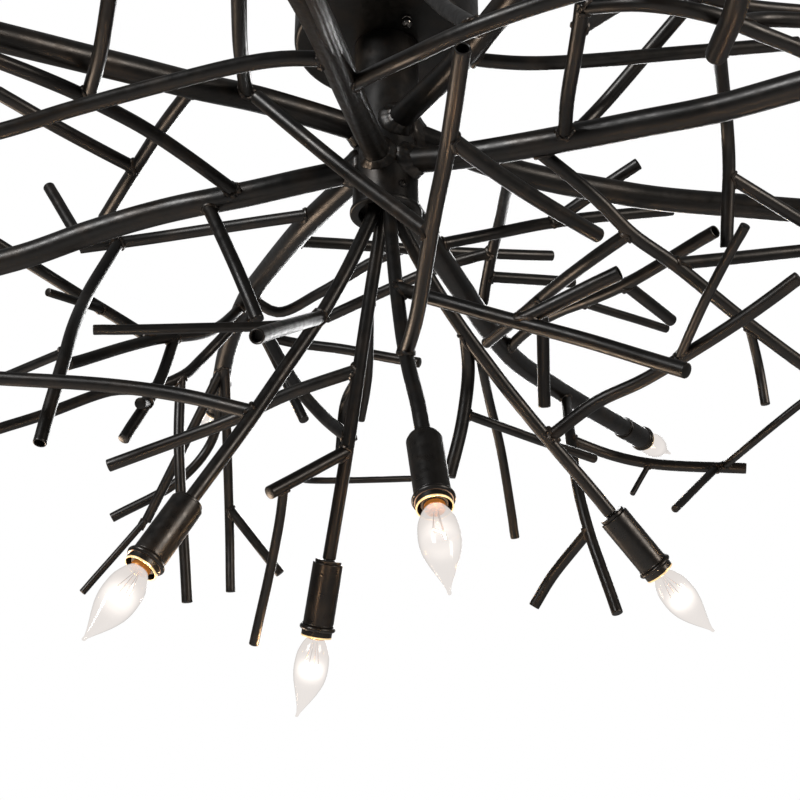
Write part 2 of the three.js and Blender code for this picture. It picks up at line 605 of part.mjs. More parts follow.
// Screw through the hub wall into the arm plate, with a cross recess
function hubScrew() {
    const shank = HUB_SCREW_DIAMETER / 2;
    const head = HUB_SCREW_HEAD_DIAMETER / 2;
    const depth = GAP - HUB_SCREW_LENGTH;
    const outline = [
        [0, depth], [shank, depth], [shank, 0], [head, 0],
        [head, HUB_SCREW_HEAD_HEIGHT / 2], [shank, HUB_SCREW_HEAD_HEIGHT], [0, HUB_SCREW_HEAD_HEIGHT],
    ];
    const body = solidOf(turned(outline, SMALL_SIDES));
    const recess = [0, Math.PI / 2].map((turn) => {
        const slot = new THREE.BoxGeometry(
            HUB_SCREW_RECESS_LENGTH,
            HUB_SCREW_RECESS_WIDTH,
            2 * HUB_SCREW_RECESS_DEPTH,
        );
        return solidOf(slot.rotateZ(turn).translate(0, 0, HUB_SCREW_HEAD_HEIGHT));
    });
    const place = screwDirection.clone().multiplyScalar(hubRadius + GAP).setZ(screwLevel);
    return solidOf(aimed(geometryOf(cut(body, recess)), place, screwDirection));
}

addNode("hub_column", hubColumn(), finishes.bronze);
addNode("hub_foot_ring", hubRing(), finishes.bronze);
addNode("arm_plate", armPlate(), finishes.bronze);
addNode("hub_screw", hubScrew(), finishes.steel);

// The wire way inside a limb or arm, with a straight stretch at each end
function wireWay(path, size, steps) {
    const radius = size.diameter / 2 - size.wall;
    const back = path.getTangentAt(0).negate();
    const forward = path.getTangentAt(1);
    const rootward = path.getPointAt(0).addScaledVector(back, -PAST);
    const mouthward = path.getPointAt(1).addScaledVector(forward, -PAST);
    const inward = mouthward.clone().addScaledVector(forward, -PAST);
    const mouth = bar(mouthward, forward, 2 * PAST, size.diameter, HOLE_SIDES);
    return joined([
        cut(sweep(path, radius, HOLE_SIDES, steps), [mouth]),
        bar(rootward, back, size === LIMB ? COLLAR_LENGTH + PAST : PAST, radius, HOLE_SIDES),
        bar(inward, forward, 3 * PAST, radius, HOLE_SIDES),
    ]);
}

// One limb or arm with its twigs as a single weldment
function weldment(path, runs, size, twigs, extras, cutters) {
    const steps = stepsFor(runs, size);
    const solids = [sweep(path, size.diameter / 2, size.sides, steps), ...extras];
    const bores = [wireWay(path, size, steps), ...cutters];
    grow(path, twigs, solids, bores);
    return cut(joined(solids), bores);
}

// Space the hub needs: a limb ends on its outside
const hubSpace = bar(
    new THREE.Vector3(0, 0, hubFoot),
    UP,
    HUB_LENGTH,
    hubRadius + GAP,
    LARGE_SIDES,
);

// Collar of weld round the root of a limb
function collar(path) {
    const direction = path.getTangentAt(0);
    const start = path.getPointAt(0).addScaledVector(direction, -COLLAR_LENGTH);
    const wide = LIMB.diameter / 2 + COLLAR_WIDTH;
    const narrow = LIMB.diameter / 2 + COLLAR_LIP;
    return bar(start, direction, 2 * COLLAR_LENGTH, wide, LIMB.sides, narrow);
}

// Cover: a cap at the tube end, a plain barrel, a ring and a short lip beyond it
function coverGeometry() {
    const hole = COVER_WIRE_HOLE_DIAMETER / 2;
    const cap = COVER_CAP_DIAMETER / 2;
    const outer = COVER_DIAMETER / 2;
    const inner = outer - COVER_WALL;
    const ring = COVER_RING_DIAMETER / 2;
    const ringTop = COVER_LENGTH - COVER_LIP_LENGTH;
    const ringFoot = ringTop - COVER_RING_HEIGHT;
    const floor = COVER_CAP_HEIGHT + COVER_WALL;
    return turned(
        [
            [hole, 0], [cap, 0], [cap, COVER_CAP_HEIGHT], [outer, COVER_CAP_HEIGHT],
            [outer, ringFoot], [ring, ringFoot], [ring, ringTop], [outer, ringTop],
            [outer, COVER_LENGTH], [inner, COVER_LENGTH], [inner, floor], [hole, floor], [hole, 0],
        ],
        SMALL_SIDES,
    );
}

// Top of the socket in its cover, and foot of the thread in it
const socketTop = COVER_LENGTH - SOCKET_SETBACK_DEPTH;
const boreFoot = socketTop - SOCKET_BORE_DEPTH;

// Socket: a plug that stands on the cap of its cover, with a threaded bore for the bulb
function socketGeometry() {
    const outer = SOCKET_DIAMETER / 2;
    const bore = SOCKET_BORE_DIAMETER / 2;
    const foot = COVER_CAP_HEIGHT + COVER_WALL + GAP;
    return turned(
        [
            [0, foot], [outer, foot], [outer, socketTop], [bore, socketTop],
            [bore, boreFoot], [0, boreFoot],
        ],
        SMALL_SIDES,
    );
}

// Bulb: screw base, collar and flame-shaped glass whose tip leans to one side
function bulbGeometry(turn) {
    const base = BULB_BASE_DIAMETER / 2;
    const foot = boreFoot + BULB_SEAT_HEIGHT;
    const collarRadius = BULB_COLLAR_DIAMETER / 2;
    const collarFoot = foot + BULB_BASE_LENGTH;
    const glassFoot = collarFoot + BULB_COLLAR_HEIGHT;
    const outline = [[0, foot], [base, foot], [base, collarFoot]];
    outline.push([collarRadius, collarFoot], [collarRadius, glassFoot]);
    for (const [radiusShare, lengthShare] of bulbGlassShares) {
        const height = glassFoot + lengthShare * BULB_GLASS_LENGTH;
        outline.push([(radiusShare * BULB_DIAMETER) / 2, height]);
    }
    const geometry = turned(outline, SMALL_SIDES);
    const places = geometry.attributes.position;
    const half = BULB_GLASS_LENGTH / 2;
    for (let i = 0; i < places.count; i += 1) {
        const beyond = Math.max(0, places.getZ(i) - glassFoot - half) / half;
        places.setX(i, places.getX(i) + BULB_TIP_OFFSET * beyond * beyond);
    }
    return geometry.rotateZ(THREE.MathUtils.degToRad(turn));
}

// Upright end of an arm, from just below the hub up into its seat in the arm plate
function armEnd(item, radius, below, above) {
    const start = rootOf(item, ARM_CIRCLE_DIAMETER / 2).setZ(hubFoot - below);
    const length = below + ARM_PLATE_RECESS_DEPTH + ARM_SOCKET_DEPTH - GAP + above;
    return bar(start, UP, length, radius, ARM.sides);
}

// A limb or arm with the lamp at its end
function addBranch(item, size, rootRadius, extras, cutters) {
    const path = pathThrough(walk(rootOf(item, rootRadius), item.runs));
    const ends = size === LIMB ? [collar(path)] : extras;
    const body = weldment(path, item.runs, size, item.twigs, ends, cutters);
    addNode(item.name, body, finishes.bronze);
    const direction = path.getTangentAt(1);
    const start = path.getPointAt(1).addScaledVector(direction, GAP);
    const place = (geometry) => solidOf(aimed(geometry, start, direction));
    addNode(`socket_cover_${item.name}`, place(coverGeometry()), finishes.bronze);
    addNode(`socket_${item.name}`, place(socketGeometry()), finishes.phenolic);
    addNode(`bulb_${item.name}`, place(bulbGeometry(item.bulbTurn)), finishes.glass);
}

for (const limb of limbs) addBranch(limb, LIMB, hubRadius, [], [hubSpace]);
for (const arm of arms) {
    const end = armEnd(arm, ARM.diameter / 2, ARM_ELBOW_LENGTH, 0);
    const wireEnd = armEnd(arm, ARM.diameter / 2 - ARM.wall, 0, PAST);
    addBranch(arm, ARM, ARM_CIRCLE_DIAMETER / 2, [end], [wireEnd]);
}

export default group;
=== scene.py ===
"""Branch chandelier: the looks of its tubes, welds, hub, canopy and lamps, and its stage.

Metres, +Z up. The origin is the middle of the face that meets the ceiling.
"""

import math

import bmesh
import bpy
from bpy.props import FloatProperty, FloatVectorProperty, IntProperty, PointerProperty
from bpy.types import Operator, Panel, PropertyGroup
from mathutils import Matrix, Vector, noise


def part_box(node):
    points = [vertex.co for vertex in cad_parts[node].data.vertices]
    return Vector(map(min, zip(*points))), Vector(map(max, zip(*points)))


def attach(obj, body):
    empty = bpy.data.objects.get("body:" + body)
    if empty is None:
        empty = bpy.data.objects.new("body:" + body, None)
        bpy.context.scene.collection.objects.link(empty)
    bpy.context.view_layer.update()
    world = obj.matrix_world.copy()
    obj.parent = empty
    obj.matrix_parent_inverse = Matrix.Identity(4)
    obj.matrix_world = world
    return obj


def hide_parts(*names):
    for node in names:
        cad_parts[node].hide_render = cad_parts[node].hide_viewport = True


bl_info = {
    "name": "Branch chandelier",
    "version": (1, 0, 0),
    "blender": (4, 5, 0),
    "location": "3D View > Sidebar > Chandelier",
    "description": "Welded tube branches with twigs, candle lamps, hub and canopy",
    "category": "Object",
}

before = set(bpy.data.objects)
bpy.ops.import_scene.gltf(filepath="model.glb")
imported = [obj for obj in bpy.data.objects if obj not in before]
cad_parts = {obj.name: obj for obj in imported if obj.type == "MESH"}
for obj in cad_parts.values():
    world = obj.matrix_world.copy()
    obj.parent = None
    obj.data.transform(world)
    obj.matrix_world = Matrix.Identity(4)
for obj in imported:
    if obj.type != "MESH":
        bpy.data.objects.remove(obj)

UP = Vector((0, 0, 1))
MM = 0.001
MERGE_DISTANCE = 0.00001

# Hub and arms
BOLT_HOLE = 0.0068
HUB_TOP_PLATE = 0.006
ARM_SEAT_DEPTH = 0.006
ARM_ELBOW_HEIGHT = 0.004

# Pan head screw in the hub; its recess is length, width and depth
SCREW_AZIMUTH = 300
SCREW_HEAD_HEIGHT = 0.0024
SCREW_RECESS = (0.0052, 0.0014, 0.003)
SCREW_OUTLINE = (
    (0, -0.0117), (0.0019, -0.0117), (0.002, 0), (0.004, 0), (0.004, 0.0006),
    (0.0037, 0.0013), (0.003, 0.0019), (0.0018, 0.0023), (0, SCREW_HEAD_HEIGHT),
)

# Ball nut: radius and height as shares of its diameter
BALL_NUT_OUTLINE = (
    (0, -0.94), (0.17, -0.92), (0.33, -0.84), (0.45, -0.69), (0.5, -0.49),
    (0.46, -0.3), (0.38, -0.17), (0.37, -0.12), (0.42, -0.08), (0.42, 0),
    (0.23, 0), (0.23, -0.5), (0, -0.5),
)

# Weld round the root of a limb: shares of the collar's length and width
WELD_PROFILE = (
    (1, 0.02), (0.93, 0.13), (0.7, 0.3), (0.42, 0.56), (0.18, 0.84), (-0.06, 1),
    (-0.35, 1.02), (-1.2, 0.9),
)

# Lamps
CAP_HOLE = 0.004
LEAD_RADIUS = 0.0003
FILAMENT_RADIUS = 0.00016
FILAMENT_COIL_RADIUS = 0.00045

# Glass of a bulb: shares of its radius and of its length
GLASS_OUTLINE = (
    (0, 0), (0.515, 0), (0.61, 0.03), (0.7, 0.06), (0.83, 0.125), (0.92, 0.18),
    (0.965, 0.235), (0.99, 0.3), (1, 0.36), (0.985, 0.43), (0.94, 0.49),
    (0.87, 0.555), (0.76, 0.62), (0.63, 0.69), (0.5, 0.75), (0.375, 0.81),
    (0.265, 0.86), (0.18, 0.905), (0.125, 0.935), (0.1, 0.957), (0.094, 0.97),
    (0.1, 0.982), (0.07, 0.995), (0, 1),
)

# Glass stem that carries the lead wires: radius and height above the glass's foot
STEM_OUTLINE = (
    (0, 0.0005), (0.0036, 0.0005), (0.0025, 0.003), (0.0014, 0.006),
    (0.0011, 0.009), (0.0018, 0.0115), (0.0011, 0.0135), (0, 0.014),
)

# Light of a lamp: power, colour, size and height above its cover
GLOW_POWER = 2
GLOW_COLOUR = (1.0, 0.62, 0.33)
GLOW_SIZE = 0.006
GLOW_HEIGHT = 0.032

# Camera, in millimetres
LENS = 70
SENSOR_WIDTH = 36

# Shares of white: the world's light on the object, and what the floor adds for the camera
WORLD_STRENGTH = 0.2
FLOOR_STRENGTH = 0.45

# Soft lights: name, place, size, power and tint
SOFTBOXES = (
    ("key", (-2.2, -2.4, 0.9), 1.1, 160, (1.0, 1.0, 1.0)),
    ("fill", (2.4, -1.7, 0.2), 1.0, 80, (1.0, 0.9, 0.8)),
    ("back", (0.4, 2.6, 0.8), 1.4, 55, (1.0, 1.0, 1.0)),
    ("low", (-1.8, 1.6, -1.3), 0.8, 42, (1.0, 0.76, 0.56)),
)


# Settings


def length(name, description, default):
    """A length that a user can set, in metres."""
    return FloatProperty(
        name=name, description=description, default=default, min=0, unit="LENGTH"
    )


def colour(name, description, default):
    """A colour that a user can set."""
    return FloatVectorProperty(
        name=name, description=description, default=default, subtype="COLOR", min=0, max=1
    )


class TubeSettings(PropertyGroup):
    """Sizes of the tubes and of the welds that join them."""

    reach: length("Reach", "Length that the runs of the branches are shares of", 0.64)
    limb: length("Limb", "Outside diameter of the eight main limbs", 0.024)
    arm: length("Arm", "Outside diameter of the four hanging arms", 0.0125)
    stout: length("Stout twig", "Outside diameter of the stout open twigs", 0.0175)
    open: length("Open twig", "Outside diameter of the open twigs", 0.0125)
    thick: length("Thick twig", "Outside diameter of the common twigs", 0.0125)
    thin: length("Thin twig", "Outside diameter of the thin twigs", 0.009)
    fine: length("Fine twig", "Outside diameter of the fine twigs", 0.0065)
    wall: length("Wall", "Wall of the tubes at their open ends", 0.0015)
    bore: length("Bore", "Depth that shows inside an open end", 0.0115)
    edge: length("Edge", "Rounding of a cut end", 0.0008)
    step: length("Step", "Distance between rings along a tube", 0.009)
    wander: length("Wander", "How far a tube leaves its smooth line", 0.0005)
    bead: length("Bead", "Radius of the weld round the root of a twig", 0.0021)
    collar: length("Collar", "Width of the weld round the root of a limb", 0.0062)
    collar_length: length("Collar length", "Length of that weld along the limb", 0.009)
    sides: IntProperty(
        name="Sides", description="Sides of a tube's section", default=20, min=8
    )


class HubSettings(PropertyGroup):
    """Sizes of the canopy, the hub and what holds them."""

    canopy: length("Canopy", "Diameter of the canopy", 0.18)
    canopy_height: length("Canopy height", "Height of the canopy", 0.06)
    canopy_edge: length("Canopy edge", "Rounding of the canopy's lower edge", 0.006)
    canopy_sheet: length("Canopy sheet", "Thickness of the canopy's metal", 0.002)
    column: length("Column", "Diameter of the hub column", 0.062)
    column_length: length("Column length", "Length of the hub column", 0.19)
    column_wall: length("Column wall", "Wall of the hub column", 0.003)
    ring: length("Foot ring", "Diameter of the ring at the foot of the hub", 0.067)
    ring_height: length("Ring height", "Height of the foot ring", 0.005)
    ring_opening: length("Ring opening", "Opening of the foot ring", 0.05)
    plate_recess: length("Plate recess", "Depth of the arm plate in the foot", 0.012)
    arm_circle: length("Arm circle", "Circle that the arms stand on", 0.024)
    ball_nut: length("Ball nut", "Diameter of the ball nuts", 0.0105)
    gap: length("Gap", "Gap between touching pieces", 0.0003)


class LampSettings(PropertyGroup):
    """Sizes of the lamps: cover, socket and flame-tip bulb."""

    cover: length("Cover", "Diameter of the lamp cover", 0.0285)
    cover_length: length("Cover length", "Length of the lamp cover", 0.072)
    cover_wall: length("Cover wall", "Wall of the lamp cover", 0.001)
    cap: length("Cap", "Diameter of the cap at the tube's end", 0.025)
    cap_height: length("Cap height", "Height of the cap", 0.003)
    ring: length("Ring", "Diameter of the rolled ring", 0.0335)
    ring_height: length("Ring height", "Height of the rolled ring", 0.005)
    lip: length("Lip", "Length of the cover beyond its ring", 0.006)
    socket: length("Socket", "Diameter of the candelabra socket", 0.021)
    socket_setback: length("Setback", "How far the socket sits in the cover", 0.003)
    socket_bore: length("Socket bore", "Diameter of the thread in the socket", 0.0136)
    socket_depth: length("Socket depth", "Depth of the thread in the socket", 0.02)
    base: length("Base", "Diameter of the bulb's screw base", 0.012)
    base_length: length("Base length", "Length of the bulb's screw base", 0.0185)
    seat: length("Seat", "Gap under the bulb's screw base", 0.002)
    collar: length("Collar", "Diameter of the collar that carries the glass", 0.0165)
    collar_height: length("Collar height", "Height of that collar", 0.0042)
    # The rim's brightness is a painted glow on the cover's end face.
    rim: length("Rim", "Length of the bright edge round the lamp's mouth", 0.0015)
    glass: length("Glass", "Widest diameter of the glass", 0.032)
    glass_length: length("Glass length", "Length of the glass", 0.0743)
    tip_bend: length("Tip bend", "How far the flame tip leans", 0.006)
    sides: IntProperty(
        name="Sides", description="Sides of a turned piece", default=40, min=12
    )


class FinishSettings(PropertyGroup):
    """Colours of the finishes."""

    bronze: colour("Bronze", "Dark oiled bronze of the tubes", (0.0052, 0.0047, 0.0042))
    rubbed: colour("Rubbed bronze", "Brown where the finish is thin", (0.016, 0.0115, 0.008))
    weld: colour("Weld", "Bare brown on the welds", (0.042, 0.026, 0.015))
    zinc: colour("Zinc", "Zinc plate on the hidden fixings", (0.45, 0.45, 0.44))
    brass: colour("Brass", "Brass of sockets and bulb bases", (0.75, 0.5, 0.2))
    plastic: colour("Plastic", "Moulded body of the sockets", (0.03, 0.026, 0.023))
    # Copper of the band at the top of the lamp's ring, a painted highlight where the ring catches
    # light
    copper: colour("Copper", "Worn edge of the lamp's ring", (0.78, 0.5, 0.34))
    glow: colour("Glow", "Light of the filament", (1.0, 0.72, 0.42))
    haze: colour("Haze", "Light that the glass scatters", (0.79, 0.74, 0.705))
    haze_edge: colour("Haze edge", "The same at the edge of the glass", (0.6, 0.575, 0.56))


class StageSettings(PropertyGroup):
    """Camera and floor."""

    eye: FloatVectorProperty(
        name="Eye",
        description="Place of the camera",
        default=(0.013, -1.236, -1.003),
        subtype="TRANSLATION",
        unit="LENGTH",
    )
    pitch: FloatProperty(
        name="Pitch",
        description="How far the camera looks up",
        default=math.radians(24.6),
        subtype="ANGLE",
    )
    floor_level: FloatProperty(
        name="Floor level",
        description="Height of the floor under the ceiling",
        default=-2.4,
        unit="LENGTH",
    )
    floor: colour("Floor", "Colour of the plain floor", (0.88, 0.88, 0.88))


# Branches: azimuth and rise in degrees, and each run's length as a share of the reach


def twig(at_share, size, runs, twigs=(), weld=1.0):
    """A twig: its place along its parent, tube, runs, own twigs and size of weld."""
    return {"at": at_share, "size": size, "runs": runs, "twigs": twigs, "weld": weld}


def branch(name, azimuth, height_share, bulb_turn, runs, twigs):
    """A limb or an arm: where it leaves the hub, its bulb's turn, its runs and twigs."""
    return {
        "name": name,
        "azimuth": azimuth,
        "height": height_share,
        "bulb_turn": bulb_turn,
        "runs": runs,
        "twigs": twigs,
    }


LIMBS = [
    branch("limb_1", 356, 0.45, 40, [
        (17, -13, 0.13), (21, 0, 0.17), (15, -1, 0.08), (5, -3, 0.13), (357, -7, 0.22),
        (350, -12, 0.25),
    ], [
        twig(0.15, "thick", [(91, 9, 0.21), (95, -3, 0.09), (96, -20, 0.11)], [
            twig(0.86, "thick", [(28, 11, 0.18)]),
            twig(0.72, "thick", [(160, -7, 0.09), (154, -11, 0.1), (150, -10, 0.13)]),
        ]),
        twig(0.64, "thick", [(45, 18, 0.16), (60, 2, 0.14)]),
        twig(0.78, "thick", [(300, -20, 0.14), (318, -42, 0.13)]),
    ]),
    branch("limb_2", 60, 0.18, 350, [(69, -3, 0.29), (69, 1, 0.24), (62, 6, 0.22), (58, 6, 0.3)], [
        twig(0.125, "thick", [(18, 22, 0.11), (7, 16, 0.1), (11, 13, 0.21)], [
            twig(0.5, "open", [(321, 17, 0.05), (328, 20, 0.115)]),
        ]),
        twig(0.485, "open", [(288, -8, 0.17), (301, -9, 0.215), (306, 1, 0.19)], [
            twig(0.49, "thin", [(33, 1, 0.18)]),
            twig(0.67, "thick", [(48, -6, 0.13)]),
        ]),
        twig(0.75, "thick", [
            (266, -50, 0.17), (279, -76, 0.1), (304, -76, 0.1), (326, -74, 0.17),
        ], [
            twig(0.345, "thick", [(16, -15, 0.08), (353, -16, 0.07), (351, -7, 0.17)], [
                twig(0.47, "fine", [(208, -57, 0.08)]),
                twig(0.84, "thin", [(224, -40, 0.18)]),
                twig(0.87, "thin", [(296, 9, 0.12), (323, 27, 0.1)]),
            ]),
            twig(0.7, "thick", [(133, -35, 0.11), (145, -51, 0.06)]),
        ]),
    ]),
    branch("limb_3", 122, 0.38, 110, [
        (119, 3, 0.21), (110, 10, 0.21), (109, 8, 0.21), (105, 0, 0.2), (102, -6, 0.13),
    ], [
        twig(0.18, "thick", [(168, -2, 0.15), (170, -4, 0.11), (182, -10, 0.13)], [
            twig(0.98, "thick", [(156, 58, 0.16)]),
            twig(0.84, "open", [
                (250, -60, 0.15), (269, -54, 0.12), (270, -62, 0.08), (251, -75, 0.15),
            ], [
                twig(0.66, "thin", [(149, -6, 0.13)]),
            ], weld=1.5),
        ], weld=1.3),
        twig(0.31, "thick", [(36, 16, 0.13), (28, 11, 0.19), (22, 10, 0.21)], weld=1.2),
        twig(0.63, "thick", [(15, -25, 0.06), (325, 6, 0.1), (327, 14, 0.12), (336, 12, 0.06)]),
        twig(0.67, "thick", [(242, -45, 0.14), (239, -29, 0.18), (234, -33, 0.21)], [
            twig(0.6, "thick", [(206, 23, 0.14), (215, 18, 0.18)], [
                twig(0.29, "thin", [(236, -10, 0.13)]),
            ]),
            twig(0.48, "thick", [(246, -69, 0.11), (228, -63, 0.14)], [
                twig(0.65, "thick", [(260, -24, 0.035)]),
            ]),
        ]),
        twig(0.72, "thick", [(40, -18, 0.07), (354, -14, 0.16), (341, -19, 0.15)], [
            twig(0.15, "thick", [(39, -54, 0.08), (330, -64, 0.13)]),
        ]),
        twig(0.75, "thick", [
            (196, -54, 0.11), (231, -49, 0.06), (211, -34, 0.08), (202, -13, 0.07),
            (198, -29, 0.14), (194, -25, 0.08),
        ], [
            twig(0.33, "thick", [(67, -86, 0.13), (60, -80, 0.29)]),
        ]),
        twig(0.9, "thick", [(104, -36, 0.195), (169, -51, 0.11), (176, -30, 0.15)]),
        twig(0.93, "thick", [(141, -55, 0.35)], [
            twig(0.98, "thin", [(181, -53, 0.195)]),
        ]),
        twig(0.92, "thick", [(89, -56, 0.33), (79, -78, 0.14)], [
            twig(0.64, "thick", [(13, -50, 0.17)]),
        ]),
    ]),
    branch("limb_4", 180, 0.26, 250, [
        (179, -14, 0.13), (166, -5, 0.18), (164, -9, 0.1), (170, -16, 0.12), (176, -12, 0.22),
        (182, -4, 0.25),
    ], [
        twig(0.17, "thick", [(238, -1, 0.17), (241, -10, 0.15), (235, -11, 0.1), (222, -4, 0.06)], [
            twig(0.69, "thick", [(289, 4, 0.1), (286, 14, 0.16)]),
        ], weld=1.9),
        twig(0.222, "thick", [(322, -63, 0.16), (349, -68, 0.085)]),
        twig(0.6, "thick", [(138, 12, 0.18), (120, 24, 0.12)]),
        twig(0.76, "thick", [(204, -38, 0.14), (190, -52, 0.14)]),
    ]),
    branch("limb_5", 214, 0.44, 80, [
        (215, -5, 0.15), (221, -14, 0.13), (220, -12, 0.13), (216, -9, 0.2), (210, -5, 0.2),
        (204, -10, 0.19),
    ], [
        twig(0.28, "thick", [(120, 0, 0.13), (118, -3, 0.24)], [
            twig(0.61, "thick", [(230, -1, 0.17), (217, 12, 0.07)]),
        ]),
        twig(0.19, "thick", [(273, -15, 0.17), (275, -11, 0.27)]),
        twig(0.64, "thick", [(256, -18, 0.18), (270, -4, 0.12)]),
        twig(0.78, "thick", [(172, -34, 0.16), (160, -54, 0.12)]),
    ]),
    branch("limb_6", 255, 0.26, 170, [
        (262, -15, 0.22), (263, -16, 0.27), (258, -11, 0.25), (256, -2, 0.26),
    ], [
        twig(0.365, "thick", [
            (185, -5, 0.08), (176, -14, 0.24), (183, -23, 0.08), (175, -14, 0.1),
        ], weld=2),
        twig(0.85, "open", [(67, -8, 0.17), (84, 19, 0.32)]),
        twig(0.265, "thick", [(297, -22, 0.19), (315, -8, 0.09), (332, 2, 0.08), (343, 7, 0.08)], [
            twig(0.66, "thick", [(109, 47, 0.19), (109, 53, 0.13)], weld=1.5),
        ]),
        twig(0.66, "thick", [(222, -22, 0.18), (236, -6, 0.14)]),
        twig(0.78, "thick", [(306, -30, 0.15), (290, -48, 0.12)]),
    ]),
    branch("limb_7", 293, 0.46, 300, [
        (297, -6, 0.16), (291, -8, 0.24), (290, -11, 0.3), (296, -4, 0.3),
    ], [
        twig(0.195, "thick", [(352, -16, 0.03), (0, -4, 0.07), (4, 8, 0.23), (6, 10, 0.14)], [
            twig(0.755, "thick", [
                (76, 0, 0.1), (76, -11, 0.08), (81, -47, 0.05), (94, -65, 0.12),
            ], [
                twig(0.7, "thick", [(28, -16, 0.15)]),
            ]),
        ]),
        twig(0.85, "stout", [(78, -13, 0.275), (90, 5, 0.14)]),
        twig(0.6, "thick", [(330, -24, 0.16), (346, -40, 0.12)]),
        twig(0.72, "thick", [(256, -20, 0.16), (246, -38, 0.12)]),
    ]),
    branch("limb_8", 322, 0.25, 20, [
        (329, -13, 0.1), (333, -6, 0.26), (327, -9, 0.09), (325, -6, 0.2), (330, -10, 0.2),
        (336, -4, 0.15),
    ], [
        twig(0.24, "thick", [(266, -6, 0.1), (270, 0, 0.09), (271, 8, 0.1)], [
            twig(0.96, "thick", [
                (326, -21, 0.085), (4, -9, 0.08), (26, -2, 0.08), (20, -9, 0.065),
            ], [
                twig(0.65, "thick", [(33, 29, 0.055), (11, 7, 0.075)]),
            ], weld=1.6),
            twig(0.84, "thick", [(44, 45, 0.11), (32, 45, 0.12)]),
        ], weld=1.7),
        twig(0.25, "thick", [(2, 50, 0.07), (324, 37, 0.09), (325, 38, 0.12)], [
            twig(0.94, "thick", [(11, -8, 0.055), (16, 6, 0.11)]),
        ]),
        twig(0.19, "thick", [
            (22, -33, 0.12), (34, -30, 0.07), (31, -20, 0.08), (36, -19, 0.18), (32, -20, 0.1),
        ], [
            twig(0.49, "thick", [(28, 20, 0.17), (23, 18, 0.13)]),
            twig(0.34, "thick", [(128, -6, 0.08), (109, 8, 0.4)], [
                twig(0.5, "thick", [(86, -53, 0.17)]),
            ]),
            twig(0.77, "thin", [(68, -36, 0.07), (60, -76, 0.06)]),
        ]),
        twig(0.68, "thick", [(8, -20, 0.16), (354, -40, 0.12)]),
        twig(0.8, "thick", [(288, -26, 0.14), (300, -46, 0.12)]),
    ]),
]

ARMS = [
    branch("arm_1", 31, 0, 202, [(34, -54, 0.12), (31, -48, 0.15), (29, -43, 0.26)], [
        twig(0.365, "thick", [(84, -37, 0.06), (110, -70, 0.08), (142, -72, 0.08)], [
            twig(0.56, "thin", [(34, -4, 0.15), (40, 1, 0.11)]),
        ]),
        twig(0.43, "thin", [(80, -12, 0.12), (72, -42, 0.08), (72, -58, 0.14)]),
        twig(0.73, "thick", [(341, 32, 0.09), (328, 13, 0.08), (318, 14, 0.15), (319, 19, 0.11)], [
            twig(0.52, "thin", [(280, 15, 0.14), (291, 27, 0.11)]),
        ], weld=1.8),
    ]),
    branch("arm_2", 110, 0, 224, [(114, -68, 0.16), (110, -66, 0.145), (112, -64, 0.19)], [
        twig(0.44, "thick", [(147, -3, 0.13), (153, -13, 0.09), (172, -19, 0.205)], weld=1.7),
        twig(0.68, "thick", [(210, -36, 0.15)], [
            twig(0.81, "thin", [(103, -51, 0.06), (111, -53, 0.18)]),
            twig(0.56, "fine", [(90, 18, 0.13), (30, 12, 0.18)]),
        ]),
        twig(0.46, "thin", [(103, 0, 0.11), (101, -65, 0.07)]),
        twig(0.23, "thin", [(92, -26, 0.15), (102, -38, 0.07)]),
        twig(0.64, "thick", [(120, 38, 0.11), (128, 46, 0.08), (120, 48, 0.11), (125, 53, 0.08)]),
    ]),
    branch("arm_3", 205, 0, 334, [(202, -68, 0.145), (199, -62, 0.215), (207, -59.5, 0.18)], [
        twig(0.39, "thin", [(190, -9, 0.08), (187, -5, 0.22)], weld=1.5),
        twig(0.37, "open", [(259, -31, 0.34)], weld=1.5),
        twig(0.7, "thick", [(167, 19, 0.1), (173, 12, 0.1), (176, 6, 0.19)], weld=1.3),
    ]),
    branch("arm_4", 284, 0, 316, [
        (282, -71, 0.19), (281, -63, 0.13), (284, -58, 0.12), (287, -69, 0.045),
    ], [
        twig(0.64, "open", [(280, 12, 0.08), (277, 18, 0.17), (279, 21, 0.09), (275, 12, 0.145)], [
            twig(0.73, "thick", [(52, 1, 0.12), (48, 2, 0.18)]),
            twig(0.44, "open", [(149, 47, 0.185), (167, 47, 0.175)]),
        ]),
        twig(0.34, "thick", [(322, -31, 0.07), (332, -28, 0.24), (324, -31, 0.155)], [
            twig(0.45, "open", [(330, 13, 0.145)]),
        ]),
    ]),
]


# Lines that the tubes follow


def heading(azimuth, rise=0.0):
    """A unit direction from an azimuth and a rise in degrees."""
    a, r = math.radians(azimuth), math.radians(rise)
    return Vector((math.cos(r) * math.cos(a), math.cos(r) * math.sin(a), math.sin(r)))


def corners_of(start, runs, reach):
    """The points that a list of runs reaches."""
    points = [start]
    for azimuth, rise, share in runs:
        points.append(points[-1] + heading(azimuth, rise) * (reach * share))
    return points


def smooth_line(corners, step):
    """Points about a step apart on a smooth line through the corners."""
    if len(corners) == 2:
        count = max(2, round((corners[1] - corners[0]).length / step))
        return [corners[0].lerp(corners[1], k / count) for k in range(count + 1)]
    before = corners[0] * 2 - corners[1]
    after = corners[-1] * 2 - corners[-2]
    padded = [before, *corners, after]
    points = []
    for a, b, c, d in zip(padded, padded[1:], padded[2:], padded[3:]):
        da, db, dc = (max((q - p).length ** 0.5, MM) for p, q in ((a, b), (b, c), (c, d)))
        leaving = ((b - a) / da - (c - a) / (da + db) + (c - b) / db) * db
        arriving = ((c - b) / db - (d - b) / (db + dc) + (d - c) / dc) * db
        count = max(2, round((c - b).length / step))
        for k in range(count):
            t = k / count
            points.append(
                b * (2 * t**3 - 3 * t**2 + 1)
                + leaving * (t**3 - 2 * t**2 + t)
                + c * (3 * t**2 - 2 * t**3)
                + arriving * (t**3 - t**2)
            )
    points.append(corners[-1].copy())
    return points


